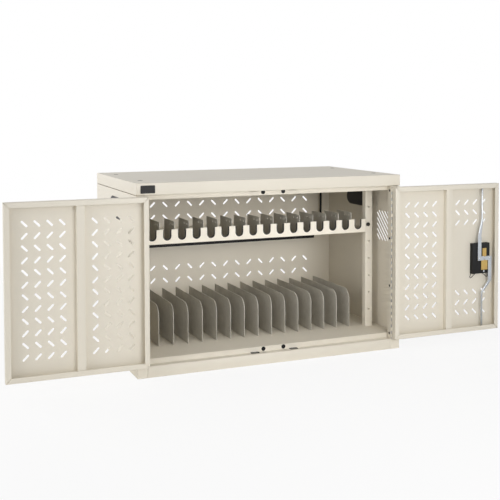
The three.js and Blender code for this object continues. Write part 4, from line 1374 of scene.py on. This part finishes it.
@dataclass
class Lock:
    """Rod lock in the right door: pan, lever, key, cam, rods and the clips that hold the pan."""

    door: Door
    along: float = 457.0
    height: float = 362.0
    pan_side: Point = (396.0, 486.0)
    pan_base: float = 295.5
    pan_depth: float = 20.0
    cam: Point = (20.3, 22.3)
    cam_foot: Point = (16.5, 51.0)
    cam_arm: Point = (36.0, 9.0)
    cam_head: Point = (10.0, 44.0)
    nut_section: Section = (
        (7.5, 0.0), (7.5, 3.6), (6.6, 4.4), (4.0, 4.4), (4.0, 5.2), (3.2, 5.4), (1.0, 5.4))
    screw_section: Section = ((4.4, 0.0), (4.4, 0.8), (3.4, 1.8), (1.2, 2.2), (1.0, 1.2))
    screw_place: Point = (-1.0, 9.0)
    rivet_section: Section = ((4.5, 0.0), (4.4, 0.8), (3.0, 1.9), (1.0, 2.3))
    rod_along: float = 444.75
    rod_depth: float = 20.0
    rod_radius: float = 4.0
    strip: Point = (23.0, 25.0)
    strip_half: float = 9.0
    pin_offset: float = 27.0
    tab_gap: float = 3.0
    tab_radius: float = 3.0
    swage: float = 14.0
    tip_ease: Point = (1.0, 1.2)
    upper_jog: Point = (100.0, 170.0)
    lower_jog: Point = (100.0, 150.0)
    tips: Point = (689.5, 46.5)
    clip_radius: float = 1.3
    clip_line: tuple[Triple, ...] = (
        (1.0, 6.0, 6.0), (0.5, 4.4, -6.0), (-2.0, 3.4, -15.0), (2.0, 3.2, -20.0), (10.0, 3.2, -15.0),
        (24.0, 4.0, -4.0), (34.0, 6.0, 4.0))

    def build(self) -> None:
        """Makes every piece of the lock."""
        for node, finish, edge, body in (
            ("handle_pan", BLACK_PLASTIC, 0.9, Body.RIGHT_DOOR),
            ("handle_lever", BLACK_PLASTIC, 1.4, Body.HANDLE),
            ("key_cylinder", ZINC_PLATE, 0.3, Body.KEY),
        ):
            copy = Workpiece()
            copy.copy_of(node, edge, 3)
            copy.finish(f"{node}_finished", finish, body, [node])
        self.cam_plate()
        self.rod("upper_rod", Body.UPPER_ROD, 1, self.upper_jog, self.tips[0])
        self.rod("lower_rod", Body.LOWER_ROD, -1, self.lower_jog, self.tips[1])
        self.pan_clips()

    def place(self, along: float, deep: float, z: float) -> Vector:
        """Gives a place on the door, in millimetres."""
        return Vector((self.door.x(along), self.door.y(deep), z))

    def plate(self, work: Workpiece, outline: Outline, deep0: float, deep1: float) -> None:
        """Adds a flat plate drawn along and up the door.

        Args:
            work: Mesh that takes the plate.
            outline: Outline along the door and up from the floor.
            deep0: Depth of one face.
            deep1: Depth of the other face.
        """
        drawn = [(self.door.x(along), z) for along, z in outline]
        work.plate(Plane.FRONTAL, drawn, [], self.door.y(deep1), self.door.y(deep0))

    def cam_plate(self) -> None:
        """Makes the yellow cam with its arms, and the nut and screw on it."""
        (foot, drop), (reach, arm), (head, rise) = self.cam_foot, self.cam_arm, self.cam_head
        right = [(foot, -drop), (foot, -arm), (reach, -arm), (reach, arm), (head, arm), (head, rise)]
        left = [(-across, up) for across, up in reversed(right)]
        a, z = self.along, self.height
        cam = Workpiece()
        self.plate(cam, [(a + across, z + up) for across, up in [*right, *left]], *self.cam)
        cam.finish("lock_cam_plate", YELLOW_ZINC, Body.HANDLE, ["lock_cam"])
        nut = Workpiece()
        nut.turn(self.nut_section, self.place(a, self.cam[1], z), (0, -1, 0), 6)
        nut.finish("lock_cam_nut", ZINC_PLATE, Body.HANDLE, crease=25.0)
        screw = Workpiece()
        across, up = self.screw_place
        screw.turn(
            self.screw_section, self.place(a + across, self.pan_depth, self.pan_base + up), (0, -1, 0), 20)
        screw.finish("handle_pan_screw", ZINC_PLATE, Body.RIGHT_DOOR)

    def rod(self, name: str, body: Body, up: int, jog: Point, tip: float) -> None:
        """Makes one rod: a flat strip with a tab at the cam, swaged down through a jog to a round end.

        Args:
            name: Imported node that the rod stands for.
            body: Body that it rides on.
            up: 1 for the upper rod and -1 for the lower one.
            jog: Start and end of the jog, measured from the lock.
            tip: Height of the round end.
        """
        pin = self.along - up * self.pin_offset
        flat = sum(self.strip) / 2
        thin = (self.strip[1] - self.strip[0]) / 2
        z = self.height
        start, end = jog
        half, radius, line, deep = self.strip_half, self.rod_radius, self.rod_along, self.rod_depth
        inset, ease = self.tip_ease
        # Height, place along the door, depth, half width, half thickness and squareness of each section. The
        # strip draws in from the jog's start, and is round a swage's length after the jog's end
        sections = [
            (z - up * half, pin, flat, half, thin, 12.0),
            (z + up * start * 0.9, pin, flat, half, thin, 12.0),
            (z + up * start, pin, flat, half * 0.92, thin, 8.0),
            (z + up * (start + end) / 2, (pin + line) / 2, flat - 1.6, 6.6, 2.2, 4.0),
            (z + up * end, line, deep + 0.6, 4.3, 3.8, 2.4),
            (z + up * (end + self.swage), line, deep, radius, radius, 2.0),
            (tip - up * ease, line, deep, radius, radius, 2.0),
            (tip, line, deep, radius - inset, radius - inset, 2.0)]
        sides = 20
        turns = [(i + 0.5) * math.tau / sides for i in range(sides)]
        rings = []
        for height, along, depth, wide, thick, square in sections:
            ring = []
            for t in turns:
                c, s = math.cos(t), math.sin(t)
                p = math.copysign(abs(c) ** (2 / square), c) * wide
                q = math.copysign(abs(s) ** (2 / square), s) * thick
                ring.append(self.place(along + p, depth + q, height) * MM)
            rings.append(ring)
        rod = Workpiece()
        rod.loft(rings)
        tab_end = self.along - up * self.tab_gap
        tab = rounded((pin + tab_end) / 2, z, abs(tab_end - pin), 2 * half, self.tab_radius, 4)
        self.plate(rod, tab, *self.strip)
        rod.turn(self.rivet_section, self.place(pin, self.strip[1], z), (0, -1, 0), 18)
        rod.finish(f"{name}_bar", ZINC_PLATE, body, [name], crease=45.0)

    def pan_clips(self) -> None:
        """Makes the bent wire springs that show under the pan's lower corners."""
        clips = Workpiece()
        low, high = self.pan_side
        for corner, inward in ((low, 1), (high, -1)):
            line = [self.place(corner + inward * across, deep, self.pan_base + up)
                    for across, deep, up in self.clip_line]
            clips.tube(eased(line, 6), self.clip_radius, 8)
        clips.finish("handle_pan_clips", BLACK_PLASTIC, Body.RIGHT_DOOR)


@dataclass
class Trim:
    """Rubber buffers for the doors, guides for the lower rods and the bare plate on the band."""

    buffer_x: float = 44.0
    buffer_section: Section = ((8.8, 0.0), (8.8, 0.8), (8.2, 1.5), (6.8, 1.9), (1.0, 2.0))
    buffer_heights: Point = (686.5, 54.0)
    guide: Triple = (34.0, 19.0, 4.0)
    guide_mouth: Triple = (28.0, 14.0, 3.0)
    guide_rise: Point = (43.8, 45.0)
    guide_depth: float = 20.0
    plate_x: Point = (-555.0, -498.5)
    plate_z: Point = (701.0, 731.0)
    plate_radius: float = 3.0
    plate_thickness: float = 1.2

    def build(self) -> None:
        """Makes the buffers, the guides and the bare plate."""
        buffers = Workpiece()
        for z in self.buffer_heights:
            for x in (-self.buffer_x, self.buffer_x):
                buffers.turn(self.buffer_section, (x, SIZES.sill, z), (0, -1, 0), 28)
        buffers.finish("door_buffers", BLACK_RUBBER, Body.CABINET)
        guides = Workpiece()
        for x in (-SIZES.rod_x, SIZES.rod_x):
            y = SIZES.front + self.guide_depth
            guides.plate(
                Plane.FLAT, rounded(x, y, *self.guide), [rounded(x, y, *self.guide_mouth)], *self.guide_rise)
        guides.finish("rod_guides", BLACK_PLASTIC, Body.CABINET)
        plate = Workpiece()
        width, height = (span[1] - span[0] for span in (self.plate_x, self.plate_z))
        x, z = (sum(span) / 2 for span in (self.plate_x, self.plate_z))
        edge = rounded(x, z, width, height, self.plate_radius)
        plate.plate(Plane.FRONTAL, edge, [], SIZES.front - self.plate_thickness, SIZES.front)
        plate.finish("name_plate_bare", BLACK_PLASTIC, Body.CABINET)


@dataclass(frozen=True)
class Lamp:
    """A soft lamp: its place, its aim and its panel in metres, its power in watts, its fan in degrees."""

    name: str
    place: Triple
    aim: Triple
    size: Point
    power: float
    spread: float = 180.0

    def hang(self) -> None:
        """Hangs the lamp."""
        data = bpy.data.lights.new(self.name, "AREA")
        data.shape = "RECTANGLE"
        data.size, data.size_y = self.size
        data.energy = self.power
        data.spread = math.radians(self.spread)
        lamp = bpy.data.objects.new(self.name, data)
        lamp.location = self.place
        lamp.visible_camera = False
        lamp.rotation_euler = (Vector(self.aim) - Vector(self.place)).to_track_quat("-Z", "Y").to_euler()
        bpy.context.collection.objects.link(lamp)


@dataclass
class Studio:
    """Pale floor, white surround, soft lamps and the camera."""

    lamps: tuple[Lamp, ...] = (
        Lamp("key_lamp", (0.35, -3.0, 0.95), (0.1, 0.0, 0.45), (1.5, 0.9), 9.0, 90.0),
        Lamp("left_lamp", (-3.6, -1.2, 1.5), (0.0, 0.0, 0.4), (1.8, 1.8), 25.0),
        Lamp("right_lamp", (3.4, -2.6, 1.4), (0.6, 0.0, 0.4), (1.6, 1.6), 1.5),
        Lamp("back_lamp", (-2.6, 2.2, 1.3), (-0.4, 0.0, 0.4), (1.8, 1.8), 30.0),
        Lamp("inner_lamp", (0.0, -0.3, 0.38), (0.0, 0.3, 0.38), (1.0, 0.5), 0.4, 150.0))
    floor_radius: float = 3.2
    floor_drop: float = 0.4
    floor_roughness: float = 0.9
    fade: Point = (1.5, 3.0)
    ambient: float = 0.42
    floor_glow: float = 0.85
    camera_place: Triple = (-1.46, -3.6382, 1.0069)
    yaw: float = 0.4034
    pitch: float = -0.0435
    roll: float = -0.0023
    lens: float = 65.61
    sensor: float = 36.0
    shift: Point = (-0.0305, -0.1974)

    def build(self) -> None:
        """Makes the studio."""
        bpy.context.scene.view_settings.view_transform = "Standard"
        self.surround()
        self.floor()
        for lamp in self.lamps:
            lamp.hang()
        self.camera()

    def surround(self) -> None:
        """Makes a world that is white to the eye and in reflections, and lights softly."""
        world = bpy.data.worlds.new("studio_surround")
        bpy.context.scene.world = world
        world.use_nodes = True
        tree = world.node_tree
        tree.nodes.clear()
        path = add_node(tree, "ShaderNodeLightPath")
        seen = add_node(
            tree, "ShaderNodeMath", {0: path.outputs["Is Camera Ray"], 1: path.outputs["Is Glossy Ray"]},
            operation="MAXIMUM")
        shown = add_node(
            tree, "ShaderNodeMath", {0: seen.outputs[0], 1: path.outputs["Is Transmission Ray"]},
            operation="MAXIMUM")
        light, white = [
            add_node(tree, "ShaderNodeBackground", values={"Color": linear("ffffff"), "Strength": strength})
            for strength in (self.ambient, 1.0)]
        both = add_node(
            tree, "ShaderNodeMixShader", {0: shown.outputs[0], 1: light.outputs[0], 2: white.outputs[0]})
        add_node(tree, "ShaderNodeOutputWorld", {"Surface": both.outputs[0]})

    def floor(self) -> None:
        """Makes a pale round floor that fades out to the white surround."""
        mesh = bmesh.new()
        bmesh.ops.create_circle(mesh, cap_ends=True, segments=96, radius=self.floor_radius)
        data = bpy.data.meshes.new("studio_floor")
        mesh.to_mesh(data)
        mesh.free()
        floor = bpy.data.objects.new("studio_floor", data)
        floor.location.z = -self.floor_drop * MM
        bpy.context.collection.objects.link(floor)
        paint = bpy.data.materials.new("studio_floor_paint")
        paint.use_nodes = True
        tree = paint.node_tree
        shader = tree.nodes["Principled BSDF"]
        shader.inputs["Base Color"].default_value = linear("ffffff")
        shader.inputs["Roughness"].default_value = self.floor_roughness
        place = add_node(tree, "ShaderNodeTexCoord")
        reach = add_node(tree, "ShaderNodeVectorMath", {0: place.outputs["Object"]}, operation="LENGTH")
        near, far = self.fade
        fade = add_node(
            tree, "ShaderNodeMapRange", {"Value": reach.outputs["Value"]},
            {"From Min": near, "From Max": far}, interpolation_type="SMOOTHSTEP")
        seen = add_node(tree, "ShaderNodeLightPath")
        share = add_node(
            tree, "ShaderNodeMath", {0: seen.outputs["Is Camera Ray"]}, {1: self.floor_glow},
            operation="MULTIPLY")
        white = add_node(tree, "ShaderNodeEmission", values={"Color": linear("ffffff"), "Strength": 1.0})
        lit = add_node(
            tree, "ShaderNodeMixShader", {0: share.outputs[0], 1: shader.outputs[0], 2: white.outputs[0]})
        clear = add_node(tree, "ShaderNodeBsdfTransparent")
        both = add_node(
            tree, "ShaderNodeMixShader", {0: fade.outputs["Result"], 1: lit.outputs[0], 2: clear.outputs[0]})
        tree.links.new(both.outputs[0], tree.nodes["Material Output"].inputs["Surface"])
        data.materials.append(paint)

    def camera(self) -> None:
        """Sets up the camera at the photograph's viewpoint."""
        data = bpy.data.cameras.new("photo_camera")
        data.sensor_width = self.sensor
        data.lens = self.lens
        data.shift_x, data.shift_y = self.shift
        camera = bpy.data.objects.new("photo_camera", data)
        ahead = Vector((
            math.sin(self.yaw) * math.cos(self.pitch), math.cos(self.yaw) * math.cos(self.pitch),
            math.sin(self.pitch)))
        right = ahead.cross(Vector((0, 0, 1))).normalized()
        up = right.cross(ahead)
        tilted = right * math.cos(self.roll) + up * math.sin(self.roll)
        turn = Matrix((tilted, tilted.cross(ahead), -ahead)).transposed().to_4x4()
        camera.matrix_world = Matrix.Translation(self.camera_place) @ turn
        bpy.context.collection.objects.link(camera)
        bpy.context.scene.camera = camera


def main() -> None:
    """Builds the studio and each sub-assembly."""
    logging.basicConfig(level=logging.INFO, format="%(message)s")
    Studio().build()
    Shell().build()
    Rack().build()
    Power().build()
    left = Door(Side.LEFT, False)
    right = Door(Side.RIGHT, True)
    left.build()
    right.build()
    Lock(right).build()
    Trim().build()
    bpy.context.view_layer.update()


if __name__ == "__main__":
    main()
